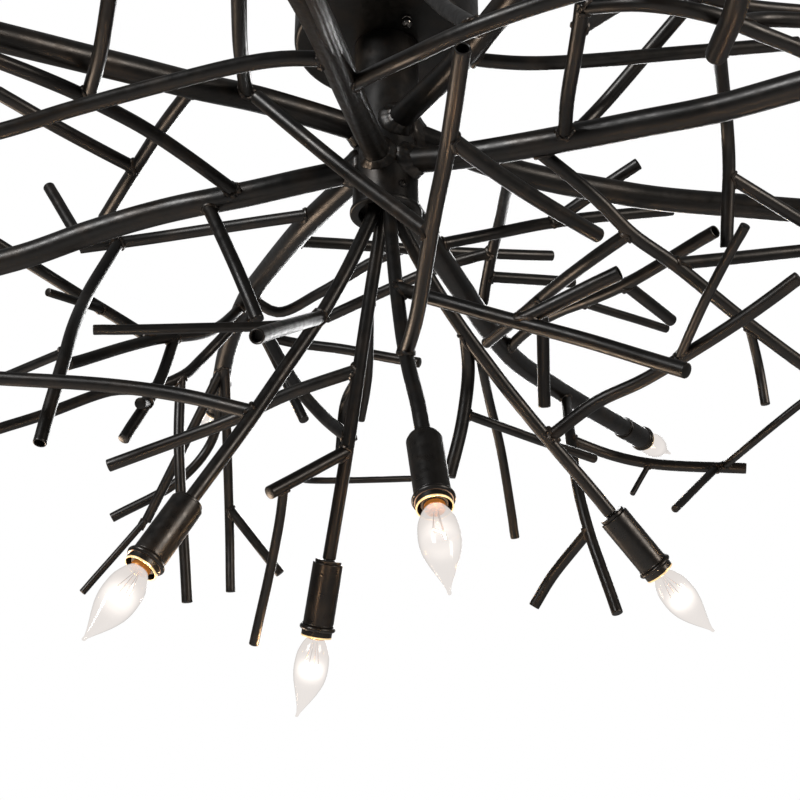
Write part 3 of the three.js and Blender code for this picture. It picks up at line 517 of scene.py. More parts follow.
def along(points, share):
    """The point and the direction at a share of a line's length."""
    lengths = [(b - a).length for a, b in zip(points, points[1:])]
    left = share * sum(lengths)
    for a, b, piece in zip(points, points[1:], lengths):
        if left <= piece:
            return a.lerp(b, left / piece), (b - a).normalized()
        left -= piece
    return points[-1].copy(), (points[-1] - points[-2]).normalized()


def frames_on(points):
    """A frame at every point, its Z along the line, turned as little as can be."""
    frames = []
    facing = (points[1] - points[0]).normalized()
    turn = UP.rotation_difference(facing)
    for k, point in enumerate(points):
        ahead = points[min(k + 1, len(points) - 1)] - points[max(k - 1, 0)]
        ahead.normalize()
        turn = facing.rotation_difference(ahead) @ turn
        facing = ahead
        frames.append(Matrix.Translation(point) @ turn.to_matrix().to_4x4())
    return frames


# Shaping with bmesh


def ring_of(bm, frame_of_ring, radius, sides):
    """A circle of edges in a frame."""
    made = bmesh.ops.create_circle(bm, segments=sides, radius=radius, matrix=frame_of_ring)
    return list({edge for vert in made["verts"] for edge in vert.link_edges})


def next_ring(bm, edges, old, new, scale):
    """The ring drawn on to a new frame and scaled; returns the new edges."""
    made = bmesh.ops.extrude_edge_only(bm, edges=edges)
    verts = [item for item in made["geom"] if isinstance(item, bmesh.types.BMVert)]
    move = new @ Matrix.Scale(scale, 4) @ old.inverted()
    bmesh.ops.transform(bm, matrix=move, verts=verts)
    return [item for item in made["geom"] if isinstance(item, bmesh.types.BMEdge)]


def sweep(bm, stations, sides, closed=False, weld=0.0):
    """A skin through rings given as (frame, radius); its ends are filled or joined."""
    part = bmesh.new()
    part.verts.layers.float.new("weld")
    first = edges = ring_of(part, stations[0][0], stations[0][1], sides)
    for (old, old_radius), (new, radius) in zip(stations, stations[1:]):
        edges = next_ring(part, edges, old, new, radius / old_radius)
    if closed:
        bmesh.ops.bridge_loops(part, edges=first + edges)
    else:
        bmesh.ops.edgeloop_fill(part, edges=first)
        bmesh.ops.edgeloop_fill(part, edges=edges)
    add_part(bm, part, weld)


def add_part(bm, part, weld=0.0):
    """A small bmesh joined to a larger one, its share of weld noted on its points."""
    share = part.verts.layers.float["weld"]
    for vert in part.verts:
        vert[share] = weld
    mesh = bpy.data.meshes.new("part")
    part.to_mesh(mesh)
    part.free()
    bm.from_mesh(mesh)
    bpy.data.meshes.remove(mesh)


def wandering(point, seed, amount):
    """A small smooth offset for a place, so that a tube isn't perfectly straight."""
    return noise.noise_vector(point * 14 + Vector((seed, 0, 0))) * amount


def tube_stations(points, radius, tubes, open_end):
    """Stations of a tube: a rounded cut at the tip, or an open end with its bore."""
    bent = [points[0]]
    bent += [p + wandering(p, radius * 900, tubes.wander) for p in points[1:-2]]
    bent += points[-2:]
    frames = frames_on(bent)
    last = frames[-1]
    edge = tubes.edge
    stations = [(f, radius * (1 + 0.004 * noise.noise(f.translation * 40))) for f in frames]

    def from_tip(back, share):
        return last @ Matrix.Translation((0, 0, -back)), radius * share

    stations[-1] = from_tip(edge * 2, 1)
    stations.append(from_tip(edge, 0.995))
    stations.append(from_tip(edge * 0.3, 1 - 0.35 * edge / radius))
    stations.append(from_tip(0, 1 - edge / radius))
    if open_end:
        inner = 1 - tubes.wall / radius
        stations.append(from_tip(edge * 0.5, inner))
        stations.append(from_tip(tubes.bore, inner))
    return stations


def seam_round(centre, parent_facing, parent_radius, facing, radius, count):
    """Points where the skin of a twig meets the skin of its parent."""
    side = facing.orthogonal().normalized()
    other = facing.cross(side)
    across = facing - parent_facing * facing.dot(parent_facing)
    steep = across.length_squared
    points = []
    for k in range(count):
        angle = 2 * math.pi * k / count
        skin = (side * math.cos(angle) + other * math.sin(angle)) * radius
        flat = skin - parent_facing * skin.dot(parent_facing)
        lean = flat.dot(across)
        under = lean**2 - steep * (flat.length_squared - parent_radius**2)
        reach = (math.sqrt(max(under, 0)) - lean) / max(steep, 0.02)
        points.append(centre + skin + facing * min(reach, 2.4 * parent_radius))
    return points


def weld_bead(bm, points, radius, seed):
    """A closed lumpy bead laid along a ring of points."""
    count = len(points)
    stations = []
    turn = None
    for k, point in enumerate(points):
        ahead = (points[(k + 1) % count] - points[k - 1]).normalized()
        if turn is None:
            turn = UP.rotation_difference(ahead)
        else:
            turn = facing.rotation_difference(ahead) @ turn
        facing = ahead
        lump = 1 + 0.32 * noise.noise(point * 420 + Vector((seed, 0, 0)))
        ripple = 1 + 0.12 * math.sin(2 * math.pi * k / 3)
        place = Matrix.Translation(point) @ turn.to_matrix().to_4x4()
        stations.append((place, radius * lump * ripple))
    sweep(bm, stations, 8, closed=True, weld=1)


def twig_radius(tubes, size):
    """Radius of a tube by its name."""
    return getattr(tubes, size) / 2


def add_twigs(bm, parent_line, parent_radius, twigs, tubes, seed):
    """Every twig of a line, its weld and its own twigs."""
    for number, item in enumerate(twigs):
        radius = twig_radius(tubes, item["size"])
        start, parent_facing = along(parent_line, item["at"])
        line = smooth_line(corners_of(start, item["runs"], tubes.reach), tubes.step)
        sides = max(12, round(tubes.sides * min(1, radius / (tubes.arm / 2))))
        open_end = item["size"] in ("stout", "open")
        sweep(bm, tube_stations(line, radius, tubes, open_end), sides)
        facing = (line[1] - line[0]).normalized()
        seam = seam_round(start, parent_facing, parent_radius, facing, radius, 24)
        bead = tubes.bead * min(1, radius / (tubes.arm / 2)) ** 0.5
        weld_bead(bm, seam, bead, seed + number)
        if item["weld"] > 1:
            lump_of_weld(bm, seam, bead * item["weld"], seed + number)
        add_twigs(bm, line, radius, item["twigs"], tubes, seed * 3 + number + 1)


def weld_collar(bm, seam, facing, middle, tubes, seed):
    """A flared lip of weld from a limb's skin down into the hub, a little uneven."""
    part = bmesh.new()
    part.verts.layers.float.new("weld")
    rows = []
    for k, point in enumerate(seam):
        out = point - middle
        out = (out - facing * out.dot(facing)).normalized()
        lump = 1 + 0.16 * noise.noise(point * 260 + Vector((seed, 0, 0)))
        lump += 0.05 * math.sin(2 * math.pi * k / 4)
        width, depth = tubes.collar * lump, tubes.collar_length * lump
        spots = [point + facing * (depth * h) + out * (width * w) for h, w in WELD_PROFILE]
        rows.append([part.verts.new(spot) for spot in spots])
    for row, following in zip(rows, rows[1:] + rows[:1]):
        for pair in zip(zip(row, row[1:]), zip(following, following[1:])):
            (a, b), (c, d) = pair
            part.faces.new((a, b, d, c))
    add_part(bm, part, 0.3)


def lump_of_weld(bm, seam, radius, seed):
    """A large weld: overlapping drops along the seam."""
    part = bmesh.new()
    part.verts.layers.float.new("weld")
    for k in range(0, len(seam), 4):
        size = radius * (0.85 + 0.3 * noise.noise(seam[k] * 300 + Vector((seed, 5, 0))))
        made = bmesh.ops.create_icosphere(
            part, subdivisions=2, radius=size, matrix=Matrix.Translation(seam[k])
        )
        for vert in made["verts"]:
            vert.co += (vert.co - seam[k]) * 0.3 * noise.noise(vert.co * 700)
    add_part(bm, part, 1)


def turned(bm, outline, sides):
    """A closed or pole-to-pole outline of (radius, height) spun about Z."""
    verts = [bm.verts.new((r, 0, z)) for r, z in outline]
    edges = [bm.edges.new(pair) for pair in zip(verts, verts[1:])]
    bmesh.ops.spin(
        bm,
        geom=verts + edges,
        axis=UP,
        cent=(0, 0, 0),
        angle=2 * math.pi,
        steps=sides,
        use_merge=True,
    )


def rounded(outline, radius, segments=3):
    """An outline with its inner corners rounded, as points of (radius, height)."""
    points = [Vector(p) for p in outline]
    result = [points[0]]
    for before, corner, after in zip(points, points[1:], points[2:]):
        cut = min(radius, (before - corner).length * 0.45, (after - corner).length * 0.45)
        start = corner + (before - corner).normalized() * cut
        end = corner + (after - corner).normalized() * cut
        for k in range(segments + 1):
            t = k / segments
            result.append(start.lerp(corner, t).lerp(corner.lerp(end, t), t))
    result.append(points[-1])
    return [tuple(p) for p in result]


# Materials


def new_material(name):
    """A material with its node tree, its links and its Principled shader."""
    material = bpy.data.materials.new(name)
    material.use_nodes = True
    nodes, links = material.node_tree.nodes, material.node_tree.links
    return material, nodes, links, nodes["Principled BSDF"]


def object_noise(nodes, links, scale, detail=3.0):
    """Noise on Object coordinates; returns its Fac socket."""
    places = nodes.new("ShaderNodeTexCoord")
    pattern = nodes.new("ShaderNodeTexNoise")
    pattern.inputs["Scale"].default_value = scale
    pattern.inputs["Detail"].default_value = detail
    links.new(places.outputs["Object"], pattern.inputs["Vector"])
    return pattern.outputs["Fac"]


def spread(nodes, links, source, low, high, to_low, to_high):
    """A value stretched from one range to another."""
    stretch = nodes.new("ShaderNodeMapRange")
    values = zip(("From Min", "From Max", "To Min", "To Max"), (low, high, to_low, to_high))
    for socket, value in values:
        stretch.inputs[socket].default_value = value
    links.new(source, stretch.inputs["Value"])
    return stretch.outputs["Result"]


def blend_colours(nodes, links, share, first, second):
    """A colour between two; each is a colour or a socket."""
    mix = nodes.new("ShaderNodeMix")
    mix.data_type = "RGBA"
    links.new(share, mix.inputs["Factor"])
    for socket, value in (("A", first), ("B", second)):
        target = next(s for s in mix.inputs if s.name == socket and s.type == "RGBA")
        if isinstance(value, bpy.types.NodeSocket):
            links.new(value, target)
        else:
            target.default_value = (*value, 1)
    return next(s for s in mix.outputs if s.type == "RGBA")


def relief(nodes, links, shader, height, strength, distance):
    """A bump from a height socket."""
    bump = nodes.new("ShaderNodeBump")
    bump.inputs["Strength"].default_value = strength
    bump.inputs["Distance"].default_value = distance
    links.new(height, bump.inputs["Height"])
    links.new(bump.outputs["Normal"], shader.inputs["Normal"])


def named_value(nodes, name):
    """The socket of a float stored on the mesh."""
    stored = nodes.new("ShaderNodeAttribute")
    stored.attribute_name = name
    return stored.outputs["Fac"]


def multiply(nodes, links, first, second):
    """The product of two values."""
    product = nodes.new("ShaderNodeMath")
    product.operation = "MULTIPLY"
    links.new(first, product.inputs[0])
    links.new(second, product.inputs[1])
    return product.outputs["Value"]


def bronze_material(finish, name="dark_bronze", roughness=(0.3, 0.42)):
    """Dark oiled bronze: brown where it is thin, browner and rougher on the welds."""
    material, nodes, links, shader = new_material(name)
    cloud = object_noise(nodes, links, 38, 5)
    thin = spread(nodes, links, cloud, 0.5, 0.72, 0, 0.75)
    skin = blend_colours(nodes, links, thin, finish.bronze, finish.rubbed)
    speck = spread(nodes, links, object_noise(nodes, links, 260, 2), 0.45, 0.75, 0, 0.8)
    bare = multiply(nodes, links, speck, named_value(nodes, "weld"))
    skin = blend_colours(nodes, links, bare, skin, finish.weld)
    links.new(skin, shader.inputs["Base Color"])
    rough = spread(nodes, links, object_noise(nodes, links, 120), 0.35, 0.65, *roughness)
    links.new(rough, shader.inputs["Roughness"])
    shader.inputs["Metallic"].default_value = 0.55
    shader.inputs["Specular IOR Level"].default_value = 0.45
    grain = spread(nodes, links, object_noise(nodes, links, 620, 4), 0, 1, 0, 0.1)
    lumps = multiply(nodes, links, object_noise(nodes, links, 210, 2), named_value(nodes, "weld"))
    both = nodes.new("ShaderNodeMath")
    links.new(grain, both.inputs[0])
    links.new(lumps, both.inputs[1])
    relief(nodes, links, shader, both.outputs["Value"], 0.5, 0.0014)
    return material


def metal_material(name, tone, roughness, scratch=420):
    """Bare metal with a fine uneven polish."""
    material, nodes, links, shader = new_material(name)
    cloud = object_noise(nodes, links, scratch / 4)
    dull = tuple(part * 0.6 for part in tone)
    links.new(
        blend_colours(nodes, links, spread(nodes, links, cloud, 0.4, 0.7, 0, 1), tone, dull),
        shader.inputs["Base Color"],
    )
    rough = spread(nodes, links, cloud, 0.3, 0.7, roughness * 0.8, roughness * 1.3)
    links.new(rough, shader.inputs["Roughness"])
    shader.inputs["Metallic"].default_value = 1
    relief(nodes, links, shader, object_noise(nodes, links, scratch, 3), 0.2, 0.0001)
    return material


def plastic_material(name, tone):
    """Moulded plastic, matte, with a faint grain."""
    material, nodes, links, shader = new_material(name)
    cloud = spread(nodes, links, object_noise(nodes, links, 90), 0.4, 0.7, 0, 1)
    pale = tuple(part * 1.5 for part in tone)
    links.new(blend_colours(nodes, links, cloud, tone, pale), shader.inputs["Base Color"])
    shader.inputs["Roughness"].default_value = 0.55
    relief(nodes, links, shader, object_noise(nodes, links, 900, 2), 0.2, 0.0001)
    return material


def painted_glow_metal_material(name, tone, light, strength):
    """Metal at the mouth of a lamp with a painted glow: emission that stands in for its filament's
    light.
    """
    material = metal_material(name, tone, 0.3)
    nodes, links = material.node_tree.nodes, material.node_tree.links
    shader = nodes["Principled BSDF"]
    shader.inputs["Emission Color"].default_value = (*light, 1)
    # Painted glow: the mesh's lit share sets the emission strength.
    glow = spread(nodes, links, named_value(nodes, "lit"), 0, 1, 0, strength)
    links.new(glow, shader.inputs["Emission Strength"])
    return material


def glass_material(finish):
    """Glass full of soft light: milky at its foot, clearer above, greyer at its edge."""
    material, nodes, links, shader = new_material("bulb_glass")
    nodes.remove(shader)
    facing = nodes.new("ShaderNodeLayerWeight")
    facing.inputs["Blend"].default_value = 0.35
    edge = spread(nodes, links, facing.outputs["Facing"], 0.45, 1.0, 0, 1)
    clear = nodes.new("ShaderNodeBsdfTransparent")
    links.new(
        blend_colours(nodes, links, edge, (0.95, 0.93, 0.915), (0.8, 0.785, 0.775)),
        clear.inputs["Color"],
    )
    haze = nodes.new("ShaderNodeEmission")
    links.new(
        blend_colours(nodes, links, edge, finish.haze, finish.haze_edge), haze.inputs["Color"]
    )
    body = nodes.new("ShaderNodeMixShader")
    links.new(named_value(nodes, "veil"), body.inputs["Fac"])
    links.new(clear.outputs["BSDF"], body.inputs[1])
    links.new(haze.outputs["Emission"], body.inputs[2])
    outside = nodes.new("ShaderNodeNewGeometry")
    front = spread(nodes, links, outside.outputs["Backfacing"], 0, 1, 1, 0)
    share = multiply(nodes, links, front,
                     spread(nodes, links, facing.outputs["Fresnel"], 0, 1, 0.01, 0.2))
    gloss = nodes.new("ShaderNodeBsdfGlossy")
    gloss.inputs["Roughness"].default_value = 0.12
    sheen = nodes.new("ShaderNodeMixShader")
    links.new(share, sheen.inputs["Fac"])
    links.new(body.outputs["Shader"], sheen.inputs[1])
    links.new(gloss.outputs["BSDF"], sheen.inputs[2])
    middle = spread(nodes, links, facing.outputs["Facing"], 0.0, 0.6, 1, 0)
    core = multiply(nodes, links, multiply(nodes, links, middle, middle),
                    named_value(nodes, "lit"))
    lit = nodes.new("ShaderNodeEmission")
    lit.inputs["Color"].default_value = (1.0, 0.93, 0.86, 1)
    links.new(spread(nodes, links, core, 0, 1, 0, 0.55), lit.inputs["Strength"])
    total = nodes.new("ShaderNodeAddShader")
    links.new(sheen.outputs["Shader"], total.inputs[0])
    links.new(lit.outputs["Emission"], total.inputs[1])
    links.new(total.outputs["Shader"], nodes["Material Output"].inputs["Surface"])
    return material


def filament_material(finish):
    """Glowing wire."""
    material, nodes, links, shader = new_material("filament")
    cloud = object_noise(nodes, links, 900)
    shader.inputs["Emission Color"].default_value = (*finish.glow, 1)
    links.new(spread(nodes, links, cloud, 0.3, 0.7, 18, 30), shader.inputs["Emission Strength"])
    return material


# Pieces


def piece_from(bm, name, materials, body, replaced=(), place=None, sharp=40):
    """A finished object from a bmesh: merged, facing out, smooth, and riding on a body."""
    bmesh.ops.remove_doubles(bm, verts=bm.verts, dist=MERGE_DISTANCE)
    bmesh.ops.recalc_face_normals(bm, faces=bm.faces)
    if place is not None:
        bmesh.ops.transform(bm, matrix=place, verts=bm.verts)
    mesh = bpy.data.meshes.new(name)
    bm.to_mesh(mesh)
    bm.free()
    mesh.shade_smooth()
    mesh.set_sharp_from_angle(angle=math.radians(sharp))
    for material in materials:
        mesh.materials.append(material)
    piece = bpy.data.objects.new(name, mesh)
    bpy.context.scene.collection.objects.link(piece)
    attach(piece, body)
    if replaced:
        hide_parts(*replaced)
    return piece


def repaint(node, material):
    """A carried-over node gets its finish."""
    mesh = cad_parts[node].data
    mesh.materials.clear()
    mesh.materials.append(material)


def material_named(name):
    """A material that an earlier step has made."""
    return bpy.data.materials[name]


def lamp_place(item, line, hub):
    """Where a lamp stands: just beyond its tube, along the tube's last run."""
    azimuth, rise, _ = item["runs"][-1]
    facing = heading(azimuth, rise)
    turn = UP.rotation_difference(facing).to_matrix().to_4x4()
    return Matrix.Translation(line[-1] + facing * hub.gap) @ turn


def branch_line(item, root_radius, hub, tubes):
    """The line of a limb or an arm from its root at the hub."""
    foot = -hub.canopy_height - hub.column_length
    root = heading(item["azimuth"]) * root_radius
    root.z = foot + hub.column_length * item["height"]
    return smooth_line(corners_of(root, item["runs"], tubes.reach), tubes.step)


def limb_lines(hub, tubes):
    """Every limb with its line."""
    return [(item, branch_line(item, hub.column / 2, hub, tubes)) for item in LIMBS]


def arm_lines(hub, tubes):
    """Every arm with its line."""
    return [(item, branch_line(item, hub.arm_circle / 2, hub, tubes)) for item in ARMS]


class CHANDELIER_OT_finishes(Operator):
    """Make the finishes"""

    bl_idname = "chandelier.finishes"
    bl_label = "Finishes"

    def execute(self, context):
        finish = context.scene.chandelier_finish
        bronze_material(finish)
        bronze_material(finish, "lamp_bronze", (0.26, 0.4))
        metal_material("zinc_plate", finish.zinc, 0.38)
        metal_material("brass", finish.brass, 0.3)
        metal_material("lead_wire", (0.11, 0.06, 0.035), 0.4)
        # Copper band on the lamp's ring: a painted highlight
        metal_material("copper_painted_highlight", finish.copper, 0.3)
        metal_material("black_nickel", (0.09, 0.085, 0.08), 0.16)
        plastic_material("socket_body", finish.plastic)
        plastic_material("wire_sleeve", (0.05, 0.045, 0.04))
        # Brass, bulb collar and mouth rim with a painted glow of the lamp's light
        painted_glow_metal_material("brass_painted_glow", finish.brass, (1.0, 0.52, 0.19), 0.36)
        painted_glow_metal_material("collar_painted_glow", (0.3, 0.14, 0.05), (1.0, 0.34, 0.06), 0.3)
        painted_glow_metal_material("rim_painted_glow", finish.brass, (1.0, 0.74, 0.42), 0.82)
        glass_material(finish)
        filament_material(finish)
        return {"FINISHED"}


class CHANDELIER_OT_canopy(Operator):
    """Add the canopy with the plate, studs and nuts that hold it"""

    bl_idname = "chandelier.canopy"
    bl_label = "Canopy"

    def execute(self, context):
        hub = context.scene.chandelier_hub
        outer, height, sheet = hub.canopy / 2, hub.canopy_height, hub.canopy_sheet
        inner, edge = outer - sheet, hub.canopy_edge
        outside = [(BOLT_HOLE, -height), (outer, -height), (outer, 0)]
        outside = rounded(outside, edge, 6)
        inside = [(inner, 0), (inner, sheet - height), (BOLT_HOLE, sheet - height)]
        inside = rounded(inside, edge - sheet / 2, 6)
        bm = bmesh.new()
        turned(bm, [*outside, *inside, outside[0]], 96)
        bronze = material_named("dark_bronze")
        piece_from(bm, "canopy_shell", [bronze], "fixture", ["canopy"])
        for number in (1, 2):
            low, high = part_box(f"ball_nut_{number}")
            middle = (low + high) / 2
            self.add_nut(number, Vector((middle.x, middle.y, high.z)), hub)
            repaint(f"canopy_stud_{number}", material_named("zinc_plate"))
        repaint("ceiling_plate", material_named("zinc_plate"))
        repaint("supply_wires", material_named("wire_sleeve"))
        return {"FINISHED"}

    def add_nut(self, number, top, hub):
        """A ball nut: a ball with a narrow shoulder under the canopy."""
        size = hub.ball_nut
        bm = bmesh.new()
        turned(bm, [(r * size, z * size) for r, z in BALL_NUT_OUTLINE], 32)
        piece_from(bm, f"ball_nut_{number}_turned", [material_named("black_nickel")],
                   f"canopy_nut_{number}", [f"ball_nut_{number}"],
                   Matrix.Translation(top))


class CHANDELIER_OT_hub(Operator):
    """Add the hub column, its foot ring, the arm plate and the screw"""

    bl_idname = "chandelier.hub"
    bl_label = "Hub"

    def execute(self, context):
        hub = context.scene.chandelier_hub
        bronze = [material_named("dark_bronze")]
        top = -hub.canopy_height - hub.gap
        foot = -hub.canopy_height - hub.column_length
        radius = hub.column / 2
        inner = radius - hub.column_wall
        ring_top = foot + hub.ring_height
        under = top - HUB_TOP_PLATE
        outline = [(BOLT_HOLE, top), (radius, top), (radius, ring_top + hub.gap)]
        outline = rounded(outline, 0.0012)
        outline += [(inner, ring_top + hub.gap), (inner, under), (BOLT_HOLE, under)]
        bm = bmesh.new()
        turned(bm, [*outline, outline[0]], 72)
        piece_from(bm, "hub_tube", bronze, "fixture", ["hub_column"])
        ring, opening = hub.ring / 2, hub.ring_opening / 2
        outline = [(opening, ring_top), (ring, ring_top), (ring, foot), (opening, foot)]
        outline = rounded([*outline, outline[0]], 0.0018)
        bm = bmesh.new()
        turned(bm, [*outline, outline[0]], 72)
        piece_from(bm, "hub_rim", bronze, "fixture", ["hub_foot_ring"])
        repaint("arm_plate", bronze[0])
        repaint("hub_hollow_bolt", material_named("zinc_plate"))
        self.add_screw(bronze, hub)
        return {"FINISHED"}

    def add_screw(self, bronze, hub):
        """A pan head screw with a cross recess, at the height of the solid screw."""
        low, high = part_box("hub_screw")
        facing = heading(SCREW_AZIMUTH)
        reach = hub.column / 2 + hub.gap
        place = Matrix.Translation(facing * reach + UP * ((low.z + high.z) / 2))
        place = place @ UP.rotation_difference(facing).to_matrix().to_4x4()
        bm = bmesh.new()
        turned(bm, SCREW_OUTLINE, 32)
        piece = piece_from(bm, "hub_screw_turned", bronze, "fixture", ["hub_screw"],
                           place)
        for turn in (0, math.pi / 2):
            cutter_bm = bmesh.new()
            size = Matrix.Diagonal((*SCREW_RECESS, 1))
            spot = place @ Matrix.Translation((0, 0, SCREW_HEAD_HEIGHT))
            spot = spot @ Matrix.Rotation(turn, 4, "Z")
            bmesh.ops.create_cube(cutter_bm, size=1, matrix=spot @ size)
            cutter_mesh = bpy.data.meshes.new("recess")
            cutter_bm.to_mesh(cutter_mesh)
            cutter_bm.free()
            cutter = bpy.data.objects.new("recess", cutter_mesh)
            bpy.context.scene.collection.objects.link(cutter)
            cut = piece.modifiers.new("recess", "BOOLEAN")
            cut.operation = "DIFFERENCE"
            cut.object = cutter
            with bpy.context.temp_override(object=piece, active_object=piece):
                bpy.ops.object.modifier_apply(modifier=cut.name)
            bpy.data.objects.remove(cutter)
            bpy.data.meshes.remove(cutter_mesh)


class CHANDELIER_OT_branches(Operator):
    """Add the limbs and the arms with their twigs and welds"""

    bl_idname = "chandelier.branches"
    bl_label = "Limbs and arms"

    def execute(self, context):
        hub, tubes = context.scene.chandelier_hub, context.scene.chandelier_tubes
        for number, (item, line) in enumerate(limb_lines(hub, tubes)):
            self.add_branch(item, line, tubes.limb / 2, tubes, hub, number * 7, True)
        for number, (item, line) in enumerate(arm_lines(hub, tubes)):
            self.add_branch(item, line, tubes.arm / 2, tubes, hub, 100 + number * 7, False)
        return {"FINISHED"}

    def add_branch(self, item, line, radius, tubes, hub, seed, is_limb):
        """One limb or arm with all its twigs as one welded piece."""
        bm = bmesh.new()
        bm.verts.layers.float.new("weld")
        facing = (line[1] - line[0]).normalized()
        if is_limb:
            rooted = [line[0] - facing * hub.column_wall, *line]
            sweep(bm, tube_stations(rooted, radius, tubes, False), tubes.sides + 8)
            seam = self.root_seam(line[0], facing, radius, hub)
            weld_collar(bm, seam, facing, line[0], tubes, seed)
        else:
            top = line[0] + UP * (hub.plate_recess + ARM_SEAT_DEPTH)
            rooted = [top, line[0] + UP * ARM_ELBOW_HEIGHT, *line[1:]]
            sweep(bm, tube_stations(rooted, radius, tubes, False), tubes.sides)
        add_twigs(bm, line, radius, item["twigs"], tubes, seed)
        piece_from(bm, item["name"] + "_welded", [material_named("dark_bronze")], "fixture",
                   [item["name"]])

    def root_seam(self, root, facing, radius, hub):
        """Where the skin of a limb meets the skin of the hub."""
        side = facing.cross(UP).normalized()
        other = facing.cross(side)
        points = []
        for k in range(48):
            angle = 2 * math.pi * k / 48
            skin = root + (side * math.cos(angle) + other * math.sin(angle)) * radius
            flat, flat_facing = Vector((skin.x, skin.y)), Vector((facing.x, facing.y))
            steep = flat_facing.length_squared
            lean = flat.dot(flat_facing)
            under = lean**2 - steep * (flat.length_squared - (hub.column / 2) ** 2)
            reach = (math.sqrt(max(under, 0)) - lean) / steep
            points.append(skin + facing * reach)
        return points


